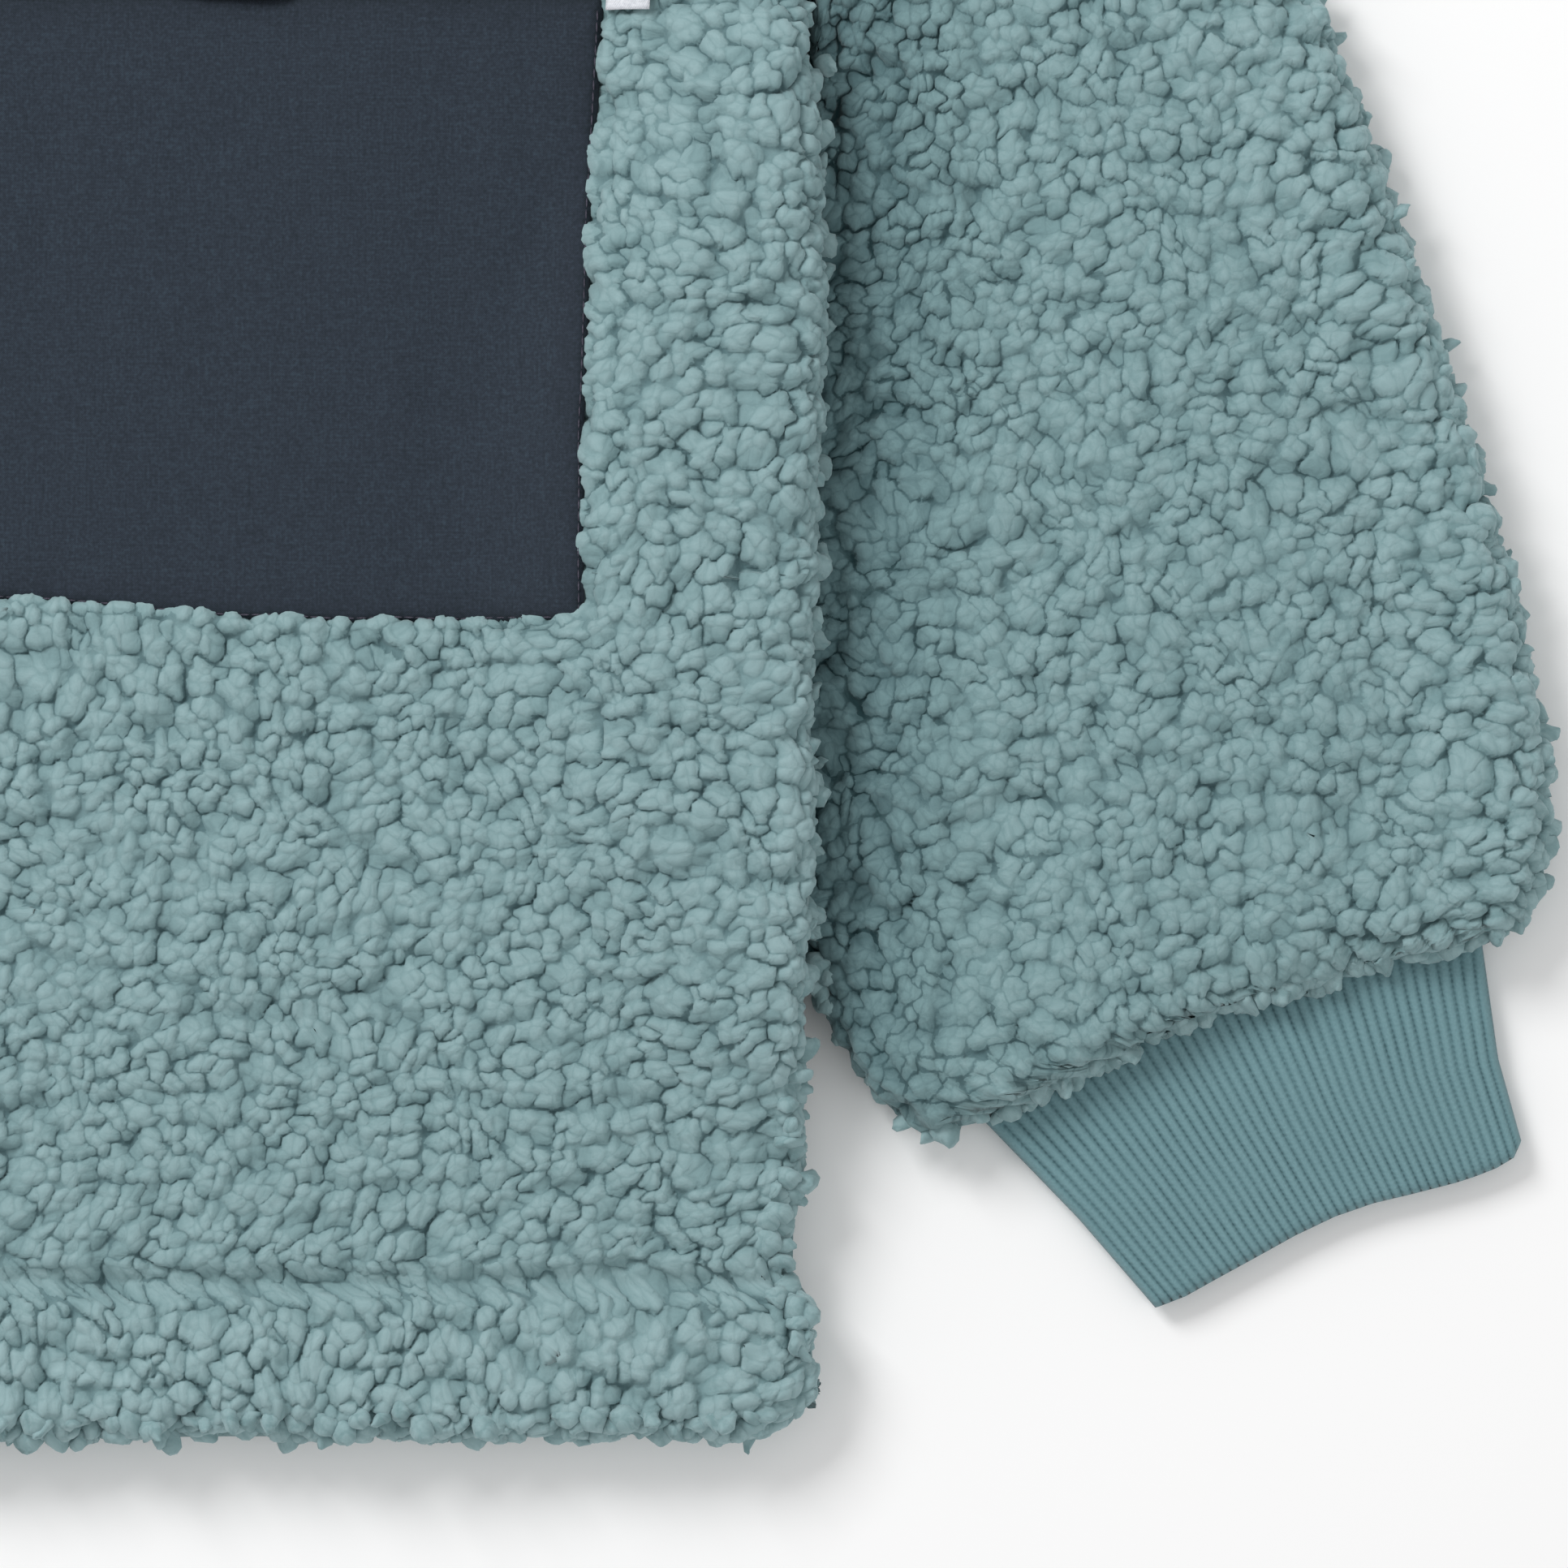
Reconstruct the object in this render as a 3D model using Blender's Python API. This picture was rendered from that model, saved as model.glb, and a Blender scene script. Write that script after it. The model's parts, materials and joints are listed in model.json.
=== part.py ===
"""A child's sherpa jacket, zipped up and laid flat on its back.

The garment lies in the XY plane with its front up. The collar points to +Y, the hem to -Y
and the wearer's left is +X. Sizes are in millimetres until place() turns them into metres.
Every panel is a wall of pile cloth: back and fronts lie on each other, the sleeves are
flattened open tubes whose inner sides run under the body, and the body rises over them.
"""
import math

import bmesh
import bpy

# ---------------------------------------------------------------- driving sizes, millimetres
MM = 0.001
MIDDLE = 274.6          # height of the garment's middle above the hem
SEAM = 0.4              # gap between two pieces that are sewn together
LAYER = 0.4             # gap between two cloths that lie on each other

PILE = 8.0              # backing and pile of the sherpa cloth
HEM_PILE = 9.4          # turned-up hem, cloth doubled
STITCH_PILE = 5.0       # cloth pulled down by the hem stitching
STRIP_PILE = 8.8        # full strip between pocket and side seam
POCKET_BED = 4.4        # pile pressed flat under the pocket
EDGE = 1.2              # wall left at the very edge of a panel

CENTRE = 6.0            # front edge beside the zip
NECK = 75.0             # neck point, from the middle
NECK_UP = 497.0         # neck point, above the hem
FRONT_DROP = 50.0
BACK_DROP = 13.0
TIP = 190.0             # shoulder tip, from the middle
TIP_UP = 450.0
UNDERARM = 292.0
YOKE = 330.0            # above this the cross lines bend towards the shoulder

SLEEVE_THICK = 16.8     # both layers of a sleeve lying free
SLEEVE_PRESSED = 11.0   # both layers under the body
SLEEVE_END = 9.8        # both layers where the cuff is sewn on
SLEEVE_SLIT = 0.7       # space left inside a flat sleeve
SLEEVE_WALL = 6.0       # wall at the sleeve's two folds
SLEEVE_STEPS = (0.0, 1.5, 5.0, 11.0)
CUFF_THICK = 6.4
CUFF_WALL = 2.6
CUFF_RIBS = 43          # ribs on each face
RIB_DEPTH = 0.55

COLLAR_HEIGHT = 52.0
COLLAR_LEVELS = (0.0, 0.04, 0.5, 0.88, 1.0)

POCKET_SIDE = 27.0      # pocket edge towards the zip
POCKET_FOOT = 161.6
POCKET_MOUTH = 285.2
POCKET_YOKE = 291.6
POCKET_TOP = 308.0
POCKET_CLOTH = 1.4
POCKET_PUFF = 0.7


def table(columns, *rows):
    """A small table: each column name gives the list of its values."""
    return {name: [row[place_in] for row in rows] for place_in, name in enumerate(columns)}


# half width of the body at each height above the hem
SIDE = table(
    ("up", "across"),
    (0.0, 215.0),
    (27.0, 215.0),
    (31.0, 210.4),
    (35.0, 208.6),
    (45.0, 211.4),
    (54.0, 213.6),
    (70.0, 213.0),
    (95.0, 213.4),
    (120.0, 215.2),
    (156.0, 214.4),
    (188.0, 216.0),
    (220.0, 216.8),
    (252.0, 216.0),
    (268.0, 214.4),
    (284.0, 212.6),
    (292.0, 212.0),
    (310.0, 206.0),
    (345.0, 196.0),
    (385.0, 190.4),
    (420.0, 188.6),
    (450.0, 190.0),
)

# line of the pocket's outer edge, carried on to hem and shoulder
POCKET_LINE = table(
    ("up", "across"),
    (0.0, 167.0),
    (120.0, 168.0),
    (161.6, 169.6),
    (204.0, 170.0),
    (236.0, 171.0),
    (264.0, 172.2),
    (284.0, 173.4),
    (308.0, 171.6),
    (330.0, 158.0),
    (385.0, 146.0),
    (450.0, 144.0),
)

# how far the sleeve's inner fold reaches under the body
TUCK = table(
    ("up", "across"),
    (96.0, 212.0),
    (111.0, 203.0),
    (128.0, 194.0),
    (146.0, 187.0),
    (165.0, 183.5),
    (184.0, 183.5),
    (203.0, 187.5),
    (222.0, 195.0),
    (240.0, 204.6),
    (258.0, 213.0),
    (264.0, 214.8),
)

# one row for each section of the sleeve, from the armhole to the cuff seam
SLEEVE = table(
    ("outer_x", "outer_y", "inner_x", "inner_y"),
    (190.6, 450.8, 212.8, 292.0),
    (222.0, 409.0, 213.5, 284.0),
    (248.0, 374.0, 214.9, 272.5),
    (271.0, 343.0, 213.0, 258.0),
    (294.0, 312.0, 204.6, 240.0),
    (314.7, 284.0, 195.0, 222.0),
    (324.6, 260.0, 187.5, 203.0),
    (332.4, 236.0, 183.5, 184.0),
    (341.0, 210.0, 183.5, 165.0),
    (348.4, 184.0, 187.0, 146.0),
    (355.0, 160.0, 194.0, 128.0),
    (360.0, 139.0, 203.0, 111.0),
    (360.8, 120.0, 212.0, 96.0),
    (359.6, 109.6, 217.8, 82.0),
    (355.6, 103.0, 226.0, 68.0),
    (350.4, 99.6, 238.0, 58.6),
    (347.2, 98.4, 248.8, 62.4),
)

# the four corners of a cuff and how far its two ends bow towards the shoulder
CUFF = table(
    ("inner_x", "inner_y", "outer_x", "outer_y", "bow"),
    (249.3, 61.9, 347.4, 97.9, 5.2),
    (267.2, 43.4, 350.6, 75.0, 3.4),
    (282.6, 25.6, 355.4, 58.2, 1.8),
)

# soft troughs of the sleeves: two ends, half width and depth
SLEEVE_FOLDS = table(
    ("x1", "y1", "x2", "y2", "half", "deep"),
    (327.0, 196.0, 330.0, 128.0, 9.0, 2.2),
    (246.0, 252.0, 262.0, 180.0, 12.0, 1.6),
    (236.0, 98.0, 262.0, 132.0, 10.0, 2.0),
    (296.0, 92.0, 292.0, 122.0, 9.0, 2.0),
    (322.0, 96.0, 318.0, 122.0, 8.0, 1.6),
    (276.0, 330.0, 236.0, 300.0, 12.0, 1.8),
)

# soft dents of the front panels
FRONT_FOLDS = table(
    ("x1", "y1", "x2", "y2", "half", "deep"),
    (60.0, 112.0, 72.0, 60.0, 16.0, 1.0),
    (128.0, 128.0, 134.0, 54.0, 15.0, 1.2),
    (150.0, 392.0, 118.0, 338.0, 18.0, 1.4),
)

# lines that run up a panel: what each is measured from, and its distance
UP_LINES = table(
    ("start", "amount"),
    ("centre", 6.0),
    ("centre", 8.0),
    ("centre", 13.0),
    ("centre", 23.0),
    ("centre", 27.0),
    ("centre", 46.0),
    ("centre", 64.0),
    ("centre", 75.0),
    ("share", 0.24),
    ("share", 0.45),
    ("share", 0.65),
    ("share", 0.83),
    ("pocket", 0.0),
    ("pocket", 4.0),
    ("side", 26.0),
    ("side", 13.0),
    ("side", 5.5),
    ("side", 1.5),
    ("side", 0.0),
)
PLAIN_SKIP = 23.0      # line that only the pocket's side needs

# lines that run across a panel, by height, and which panels have them
CROSS_LINES = table(
    ("up", "panels"),
    (0.0, "left right back"),
    (1.5, "left right back"),
    (6.0, "left right back"),
    (14.0, "left right back"),
    (27.0, "left right"),
    (31.0, "left right"),
    (35.0, "left right"),
    (48.0, "left right back"),
    (70.0, "left right back"),
    (95.0, "left right back"),
    (120.0, "left right back"),
    (142.0, "left right back"),
    (157.6, "left right back"),
    (161.6, "left right back"),
    (185.0, "left right back"),
    (210.0, "left right back"),
    (235.0, "left right back"),
    (262.0, "left right back"),
    (285.2, "left right back"),
    (291.6, "left right back"),
    (308.0, "left right back"),
    (312.0, "left"),
    (330.0, "left right back"),
    (356.0, "left right back"),
    (386.0, "left right back"),
    (416.0, "left right back"),
    (438.0, "left right back"),
    (447.0, "left right back"),
    (450.0, "left right back"),
)


# ---------------------------------------------------------------- small helpers
def between(rows, key, value, at):
    """Straight interpolation in a table."""
    keys = rows[key]
    values = rows[value]
    if at <= keys[0]:
        return values[0]
    for low in range(len(keys) - 1):
        if at <= keys[low + 1]:
            part = (at - keys[low]) / (keys[low + 1] - keys[low])
            return values[low] + part * (values[low + 1] - values[low])
    return values[-1]


def mix(a, b, part):
    return a + (b - a) * part


def soft(part):
    """Smooth step from 0 to 1."""
    part = min(max(part, 0.0), 1.0)
    return part * part * (3.0 - 2.0 * part)


def roundness(distance, radius):
    """Quarter ellipse: 0 at an edge, 1 once the radius is passed."""
    if distance >= radius:
        return 1.0
    left = 1.0 - max(distance, 0.0) / radius
    return math.sqrt(max(0.0, 1.0 - left * left))


def side(up):
    return between(SIDE, "up", "across", up)


def pocket_line(up):
    return between(POCKET_LINE, "up", "across", up)


def place(x, y, z):
    """Millimetres on the garment to metres in the model's own frame."""
    return (x * MM, (y - MIDDLE) * MM, z * MM)


def material(name, colour, roughness, metallic=0.0):
    made = bpy.data.materials.new(name)
    made.use_nodes = True
    shader = made.node_tree.nodes["Principled BSDF"]
    shader.inputs["Base Color"].default_value = (*colour, 1.0)
    shader.inputs["Roughness"].default_value = roughness
    shader.inputs["Metallic"].default_value = metallic
    made.diffuse_color = (*colour, 1.0)
    return made


def solid(name, points, faces, finish):
    """One closed mesh object with its faces pointing out."""
    shape = bmesh.new()
    corners = [shape.verts.new(place(*point)) for point in points]
    for face in faces:
        shape.faces.new([corners[corner] for corner in face])
    bmesh.ops.recalc_face_normals(shape, faces=shape.faces)
    bmesh.ops.triangulate(shape, faces=shape.faces, quad_method="FIXED")
    mesh = bpy.data.meshes.new(name)
    shape.to_mesh(mesh)
    shape.free()
    mesh.materials.append(finish)
    made = bpy.data.objects.new(name, mesh)
    bpy.context.collection.objects.link(made)
    return made


# ---------------------------------------------------------------- shapes the whole garment shares
def under_body(x, y):
    """Distance from a point to the strip where a sleeve lies under the body."""
    nearest = 1000.0
    up = TUCK["up"][0]
    while up <= TUCK["up"][-1]:
        inner = between(TUCK, "up", "across", up)
        outer = max(side(up), inner)
        beside = max(inner - abs(x), abs(x) - outer, 0.0)
        nearest = min(nearest, math.hypot(beside, y - up))
        up += 3.0
    return nearest


def lift(x, y):
    """Height of the body's underside: it climbs over the sleeve that lies below it."""
    rise = SLEEVE_PRESSED + LAYER
    return rise * soft(1.0 - (under_body(x, y) - 7.0) / 34.0)


def trough(folds, x, y):
    """Depth taken away by the soft folds of a table at one point."""
    depth = 0.0
    for row in range(len(folds["deep"])):
        start = (folds["x1"][row], folds["y1"][row])
        run = (folds["x2"][row] - start[0], folds["y2"][row] - start[1])
        length = math.hypot(*run)
        along = ((x - start[0]) * run[0] + (y - start[1]) * run[1]) / length
        aside = ((x - start[0]) * run[1] - (y - start[1]) * run[0]) / length
        ends = max(-along, along - length, 0.0)
        reach = math.hypot(aside, ends) / folds["half"][row]
        depth += folds["deep"][row] * math.exp(-reach * reach)
    return depth


def hem_corner(x, up):
    """Extra height that rounds the corner of hem and side."""
    left = 1.0 - roundness(side(0.0) - abs(x), 20.0)
    return 11.0 * left * max(0.0, 1.0 - up / 27.0)


def foot_rise(x, up):
    """The pocket's lower edge climbs towards the zip, and the lines near it follow."""
    climb = 6.0 * soft((128.0 - abs(x)) / 110.0)
    near = 1.0 - abs(up - 160.0) / 20.0
    if up > 160.0:
        near = 1.0 - (up - POCKET_FOOT) / 48.0
    return climb * min(max(near, 0.0), 1.0)


def crown(x, drop):
    """Top line of a panel: neckline up to the neck point, then shoulder down to its tip."""
    across = abs(x)
    if across >= NECK:
        return NECK_UP - (NECK_UP - TIP_UP) * (across - NECK) / (TIP - NECK)
    knots = (0.0, 6.0, 13.0, 27.0, 46.0, 64.0, NECK)
    for low in range(len(knots) - 1):
        if across <= knots[low + 1]:
            part = (across - knots[low]) / (knots[low + 1] - knots[low])
            below = NECK_UP - drop * math.sqrt(1.0 - (knots[low] / NECK) ** 2)
            above = NECK_UP - drop * math.sqrt(1.0 - (knots[low + 1] / NECK) ** 2)
            return mix(below, above, part)
    return NECK_UP


def line_across(line, up):
    """Distance from the middle of one of the lines that run up a panel."""
    start = UP_LINES["start"][line]
    amount = UP_LINES["amount"][line]
    if start == "share":
        return mix(NECK, pocket_line(up), amount)
    if start == "pocket":
        return pocket_line(up) + amount
    if start == "side":
        return side(up) - amount
    return amount


def spot(x, up, drop):
    """Where a line across the panel, named by its height, passes the distance x."""
    if up > YOKE:
        return YOKE + (up - YOKE) / (TIP_UP - YOKE) * (crown(x, drop) - YOKE)
    return up + hem_corner(x, up) + foot_rise(x, up)


def fullness(x, y, up, drop, centre_edge):
    """Share of the full wall at a point: it falls off towards each edge of the panel."""
    to_side = side(up) - abs(x)
    fold = roundness(to_side, 10.0)
    sewn = 0.72 + 0.28 * roundness(to_side, 6.0)
    share = mix(fold, sewn, soft((up - 282.0) / 20.0))
    share *= roundness(y - hem_corner(x, 0.0) + 0.05, 10.0)
    to_top = crown(x, drop) - y
    share *= 0.72 + 0.28 * roundness(to_top, 7.0)
    if centre_edge:
        share *= 0.6 + 0.4 * roundness(abs(x) - CENTRE, 7.0)
    return share


def pile_height(x, y, up, pocket):
    """Thickness of a front panel before its edges are rounded."""
    height = PILE
    if up < 27.0:
        height = mix(HEM_PILE, 8.6, up / 27.0)
    elif up < 31.0:
        height = mix(8.6, STITCH_PILE, (up - 27.0) / 4.0)
    elif up < 35.0:
        height = mix(STITCH_PILE, 7.6, (up - 31.0) / 4.0)
    elif up < 60.0:
        height = mix(7.6, PILE, (up - 35.0) / 25.0)
    inside = abs(x) >= POCKET_SIDE - 0.01 and abs(x) <= pocket_line(up) + 0.01
    if pocket and inside and POCKET_FOOT - 0.01 <= up <= POCKET_TOP + 0.01:
        return POCKET_BED
    strip = soft((abs(x) - pocket_line(up)) / 4.0)
    if 60.0 < up < UNDERARM:
        height = mix(height, STRIP_PILE, strip)
    return height - trough(FRONT_FOLDS, abs(x), y)


def front_point(x, up, sign, pocket):
    """Underside and top of a front panel at one crossing of its lines."""
    y = spot(x, up, FRONT_DROP)
    ground = lift(x, y) + PILE + LAYER
    wall = pile_height(x, y, up, pocket)
    share = fullness(x, y, up, FRONT_DROP, True)
    return (sign * x, y, ground), (sign * x, y, ground + EDGE + (wall - EDGE) * share)


def back_point(x, up, sign):
    y = spot(x, up, BACK_DROP)
    ground = lift(x, y)
    share = fullness(x, y, up, BACK_DROP, False)
    return (sign * x, y, ground + (PILE - EDGE) * (1.0 - share)), (sign * x, y, ground + PILE)


def slab(name, low, high, finish):
    """Closed solid between two sheets of points that have the same rows and columns.

    Both sheets split along the same diagonals, so sheets that lie on each other stay parallel.
    """
    rows = len(low)
    wide = len(low[0])
    points = [point for row in low for point in row] + [point for row in high for point in row]
    top = rows * wide
    faces = []
    for row in range(rows - 1):
        for column in range(wide - 1):
            a = row * wide + column
            b = a + 1
            c = a + wide + 1
            d = a + wide
            faces += [(top + a, top + b, top + c), (top + a, top + c, top + d)]
            faces += [(a, c, b), (a, d, c)]
    rim = list(range(wide))
    rim += [row * wide + wide - 1 for row in range(1, rows)]
    rim += [(rows - 1) * wide + column for column in range(wide - 2, -1, -1)]
    rim += [row * wide for row in range(rows - 2, 0, -1)]
    for step, here in enumerate(rim):
        following = rim[(step + 1) % len(rim)]
        faces.append((here, following, top + following, top + here))
    return solid(name, points, faces, finish)


def tube(name, outer, inner, finish):
    """Open tube wall between outer and inner rings; the inner rings may have half the points."""
    many = len(outer[0])
    few = len(inner[0])
    times = many // few
    points = [point for ring in outer for point in ring]
    base = len(points)
    points += [point for ring in inner for point in ring]
    faces = []
    for ring in range(len(outer) - 1):
        for step in range(many):
            after = (step + 1) % many
            here = ring * many
            faces.append((here + step, here + after, here + many + after, here + many + step))
        for step in range(few):
            after = (step + 1) % few
            here = base + ring * few
            faces.append((here + after, here + step, here + few + step, here + few + after))
    for ring in (0, len(outer) - 1):
        for step in range(few):
            after = (step + 1) % few
            inside = base + ring * few
            outside = [ring * many + (step * times + part) % many for part in range(times + 1)]
            faces.append((inside + step, inside + after, outside[-1]))
            for part in range(times):
                faces.append((inside + step, outside[part + 1], outside[part]))
    return solid(name, points, faces, finish)


# ---------------------------------------------------------------- body panels
def panel_lines(panel):
    ups = [up for up, names in zip(CROSS_LINES["up"], CROSS_LINES["panels"]) if panel in names]
    columns = []
    for line, amount in enumerate(UP_LINES["amount"]):
        plain_line = UP_LINES["start"][line] == "centre" and amount == PLAIN_SKIP
        if panel == "left" or not plain_line:
            columns.append(line)
    return ups, columns


def make_front(name, panel, sign, pocket, finish):
    ups, columns = panel_lines(panel)
    if sign < 0:
        columns.reverse()
    low = []
    high = []
    for up in ups:
        pairs = [front_point(line_across(line, up), up, sign, pocket) for line in columns]
        low.append([pair[0] for pair in pairs])
        high.append([pair[1] for pair in pairs])
    return slab(name, low, high, finish)


def make_back(finish):
    ups, columns = panel_lines("back")
    amounts = UP_LINES["amount"]
    columns = [line for line in columns if UP_LINES["start"][line] != "centre" or amounts[line] > 25.0]
    low = []
    high = []
    for up in ups:
        spots = [(-1.0, line_across(line, up)) for line in reversed(columns)]
        spots.append((1.0, 0.0))
        spots += [(1.0, line_across(line, up)) for line in columns]
        pairs = [back_point(x, up, sign) for sign, x in spots]
        low.append([pair[0] for pair in pairs])
        high.append([pair[1] for pair in pairs])
    return slab("back", low, high, finish)


# ---------------------------------------------------------------- sleeves and cuffs
def sleeve_spot(section, t):
    """Point of the flat sleeve: section 0 is the armhole, t runs from inner to outer fold."""
    last = len(SLEEVE["outer_x"]) - 1
    low = min(int(section), last - 1)
    part = section - low
    outer = [mix(SLEEVE[key][low], SLEEVE[key][low + 1], part) for key in ("outer_x", "outer_y")]
    inner = [mix(SLEEVE[key][low], SLEEVE[key][low + 1], part) for key in ("inner_x", "inner_y")]
    x = mix(inner[0], outer[0], t)
    y = mix(inner[1], outer[1], t)
    up = mix(SLEEVE["inner_y"][0], SLEEVE["outer_y"][0], t)
    armhole = side(min(up, TIP_UP)) + 2.0 * SEAM - mix(SLEEVE["inner_x"][0], SLEEVE["outer_x"][0], t)
    x += armhole * soft(1.0 - section / 4.0)
    bow = CUFF["bow"][0] * 4.0 * t * (1.0 - t) * soft((section - last + 5.0) / 5.0)
    slope = (SLEEVE["outer_y"][last] - SLEEVE["inner_y"][last])
    run = (SLEEVE["outer_x"][last] - SLEEVE["inner_x"][last])
    length = math.hypot(slope, run)
    return x - bow * slope / length, y + bow * run / length


def sleeve_width(section):
    low = sleeve_spot(section, 0.0)
    high = sleeve_spot(section, 1.0)
    return math.hypot(high[0] - low[0], high[1] - low[1])


def sleeve_heights(section, t):
    """Top, slit and underside of a sleeve at a point, before its two folds are rounded."""
    x, y = sleeve_spot(section, t)
    last = len(SLEEVE["outer_x"]) - 1
    pressed = soft(1.0 - (under_body(x, y) - 3.0) / 26.0)
    thick = mix(SLEEVE_THICK, SLEEVE_PRESSED, pressed)
    end = sleeve_spot(last, t)
    to_end = math.hypot(x - end[0], y - end[1])
    thick = mix(SLEEVE_END, thick, roundness(to_end, 13.0))
    start = sleeve_spot(0.0, t)
    to_start = math.hypot(x - start[0], y - start[1])
    thick *= 0.84 + 0.16 * roundness(to_start, 8.0)
    middle = mix(CUFF_THICK * 0.5 + 0.2, 0.5 * thick, soft(to_end / 30.0))
    return thick - trough(SLEEVE_FOLDS, x, y) * (1.0 - pressed), middle


def sleeve_shares(width):
    """Close steps at the two folds of the sleeve and even ones between them."""
    near = [step / width for step in SLEEVE_STEPS]
    far = [1.0 - share for share in reversed(near)]
    middle = [mix(near[-1], far[0], part / 8.0) for part in range(1, 8)]
    return near + middle + far


def sleeve_rings(section):
    """Outer ring of a section and, with every second point, the ring of its slit."""
    width = sleeve_width(section)
    across = sleeve_shares(width)
    top = []
    bottom = []
    slit_top = []
    slit_bottom = []
    edge = SLEEVE_WALL / width
    for t in across:
        x, y = sleeve_spot(section, t)
        thick, middle = sleeve_heights(section, t)
        share = roundness(min(t, 1.0 - t) * width, 9.0)
        top.append((x, y, mix(middle, thick, share)))
        bottom.append((x, y, middle * (1.0 - share)))
        inside = edge + (1.0 - 2.0 * edge) * t
        x, y = sleeve_spot(section, inside)
        thick, middle = sleeve_heights(section, inside)
        slit_top.append((x, y, middle + SLEEVE_SLIT * 0.5))
        slit_bottom.append((x, y, middle - SLEEVE_SLIT * 0.5))
    outer = top + bottom[-2:0:-1]
    inner = slit_top[0::2] + slit_bottom[-3:1:-2]
    first = slit_top[0]
    final = slit_top[-1]
    inner[0] = (first[0], first[1], first[2] - SLEEVE_SLIT * 0.5)
    half = len(slit_top[0::2]) - 1
    inner[half] = (final[0], final[1], final[2] - SLEEVE_SLIT * 0.5)
    return outer, inner


def make_sleeve(name, sign, finish):
    outer = []
    inner = []
    last = len(SLEEVE["outer_x"]) - 1
    for section in range(last + 1):
        ring, slit = sleeve_rings(float(section))
        outer.append([(sign * x, y, z) for x, y, z in ring])
        inner.append([(sign * x, y, z) for x, y, z in slit])
    return tube(name, outer, inner, finish)


def cuff_spot(level, t):
    x = mix(CUFF["inner_x"][level], CUFF["outer_x"][level], t)
    y = mix(CUFF["inner_y"][level], CUFF["outer_y"][level], t)
    run = CUFF["outer_x"][level] - CUFF["inner_x"][level]
    slope = CUFF["outer_y"][level] - CUFF["inner_y"][level]
    length = math.hypot(run, slope)
    bow = CUFF["bow"][level] * 4.0 * t * (1.0 - t)
    return x - bow * slope / length, y + bow * run / length, length


def make_cuff(name, sign, finish):
    outer = []
    inner = []
    steps = 2 * CUFF_RIBS
    for level in range(len(CUFF["bow"])):
        top = []
        bottom = []
        slit_top = []
        slit_bottom = []
        for step in range(steps + 1):
            t = step / steps
            x, y, length = cuff_spot(level, t)
            share = roundness(min(t, 1.0 - t) * length, 3.4)
            groove = RIB_DEPTH * (1.0 - step % 2)
            half = CUFF_THICK * 0.5
            top.append((sign * x, y, half + (half - groove) * share))
            bottom.append((sign * x, y, half - (half - groove) * share))
            edge = CUFF_WALL / length
            x, y, length = cuff_spot(level, edge + (1.0 - 2.0 * edge) * t)
            slit_top.append((sign * x, y, half + 0.3))
            slit_bottom.append((sign * x, y, half - 0.3))
        slit_top[0] = (*slit_top[0][:2], CUFF_THICK * 0.5)
        slit_top[-1] = (*slit_top[-1][:2], CUFF_THICK * 0.5)
        outer.append(top + bottom[-2:0:-1])
        inner.append(slit_top[0::2] + slit_bottom[-3:1:-2])
    return tube(name, outer, inner, finish)


# ---------------------------------------------------------------- collar
def collar_ring(level, inside):
    """Points round the collar at one level, from the left front edge to the right one."""
    half = PILE + LAYER * 0.5
    steps = (6.0, 13.0, 27.0, 46.0, 64.0, 70.5, 73.8)
    front = []
    back = []
    shrink = NECK - 7.0 if inside else NECK
    thin = 1.0 - roundness((1.0 - level) * COLLAR_HEIGHT, 7.0)
    for across in steps:
        x = across * shrink / NECK
        if inside and across < 30.0:
            x = across
        share = roundness(NECK - across, 9.0)
        reach = half - 3.2 * thin
        wall = LAYER * 0.5 + 2.6 * thin
        z = wall if inside else mix(0.0, reach, share)
        if inside and across > 72.0:
            z = wall * 0.6
        front_y = crown(x, FRONT_DROP) + 0.7 + level * COLLAR_HEIGHT
        back_y = crown(x, BACK_DROP) + 0.7 + level * COLLAR_HEIGHT
        front.append((x, front_y, half + z))
        back.append((x, back_y, half - z))
    nose_y = crown(shrink, BACK_DROP) + 0.7 + level * COLLAR_HEIGHT
    nose = [(shrink, nose_y, half)]
    middle = [(0.0, crown(0.0, BACK_DROP) + 0.7 + level * COLLAR_HEIGHT, back[0][2])]
    left = front + nose + back[:0:-1]
    right = [(-x, y, z) for x, y, z in reversed(left)]
    return left + middle + right


def make_collar(finish):
    """A wall round the neck, open at the front for the zip."""
    sheets = [[collar_ring(level, inside) for level in COLLAR_LEVELS] for inside in (False, True)]
    return slab("collar", sheets[1], sheets[0], finish)


# ---------------------------------------------------------------- chest pocket and label
def patch(name, ups, columns, gap, thick, puff, finish, trim=0.0):
    """A cloth made from the left front's own crossings, moved out over the pile."""
    low = []
    high = []
    for row, up in enumerate(ups):
        under = []
        over = []
        for place_in, line in enumerate(columns):
            x = line_across(line, up)
            point = front_point(x, up, 1.0, True)[1]
            edge = min(row, len(ups) - 1 - row, place_in, len(columns) - 1 - place_in)
            rise = gap + (puff if edge > 0 else 0.0)
            under.append((point[0], point[1] + trim, point[2] + rise))
            over.append((point[0], point[1] + trim, point[2] + rise + thick))
        low.append(under)
        high.append(over)
    return slab(name, low, high, finish)


def pocket_columns():
    starts = UP_LINES["start"]
    amounts = UP_LINES["amount"]
    first = [line for line in range(len(amounts)) if starts[line] == "centre" and amounts[line] == 27.0][0]
    final = [line for line in range(len(amounts)) if starts[line] == "pocket" and amounts[line] == 0.0][0]
    return list(range(first, final + 1))


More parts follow.
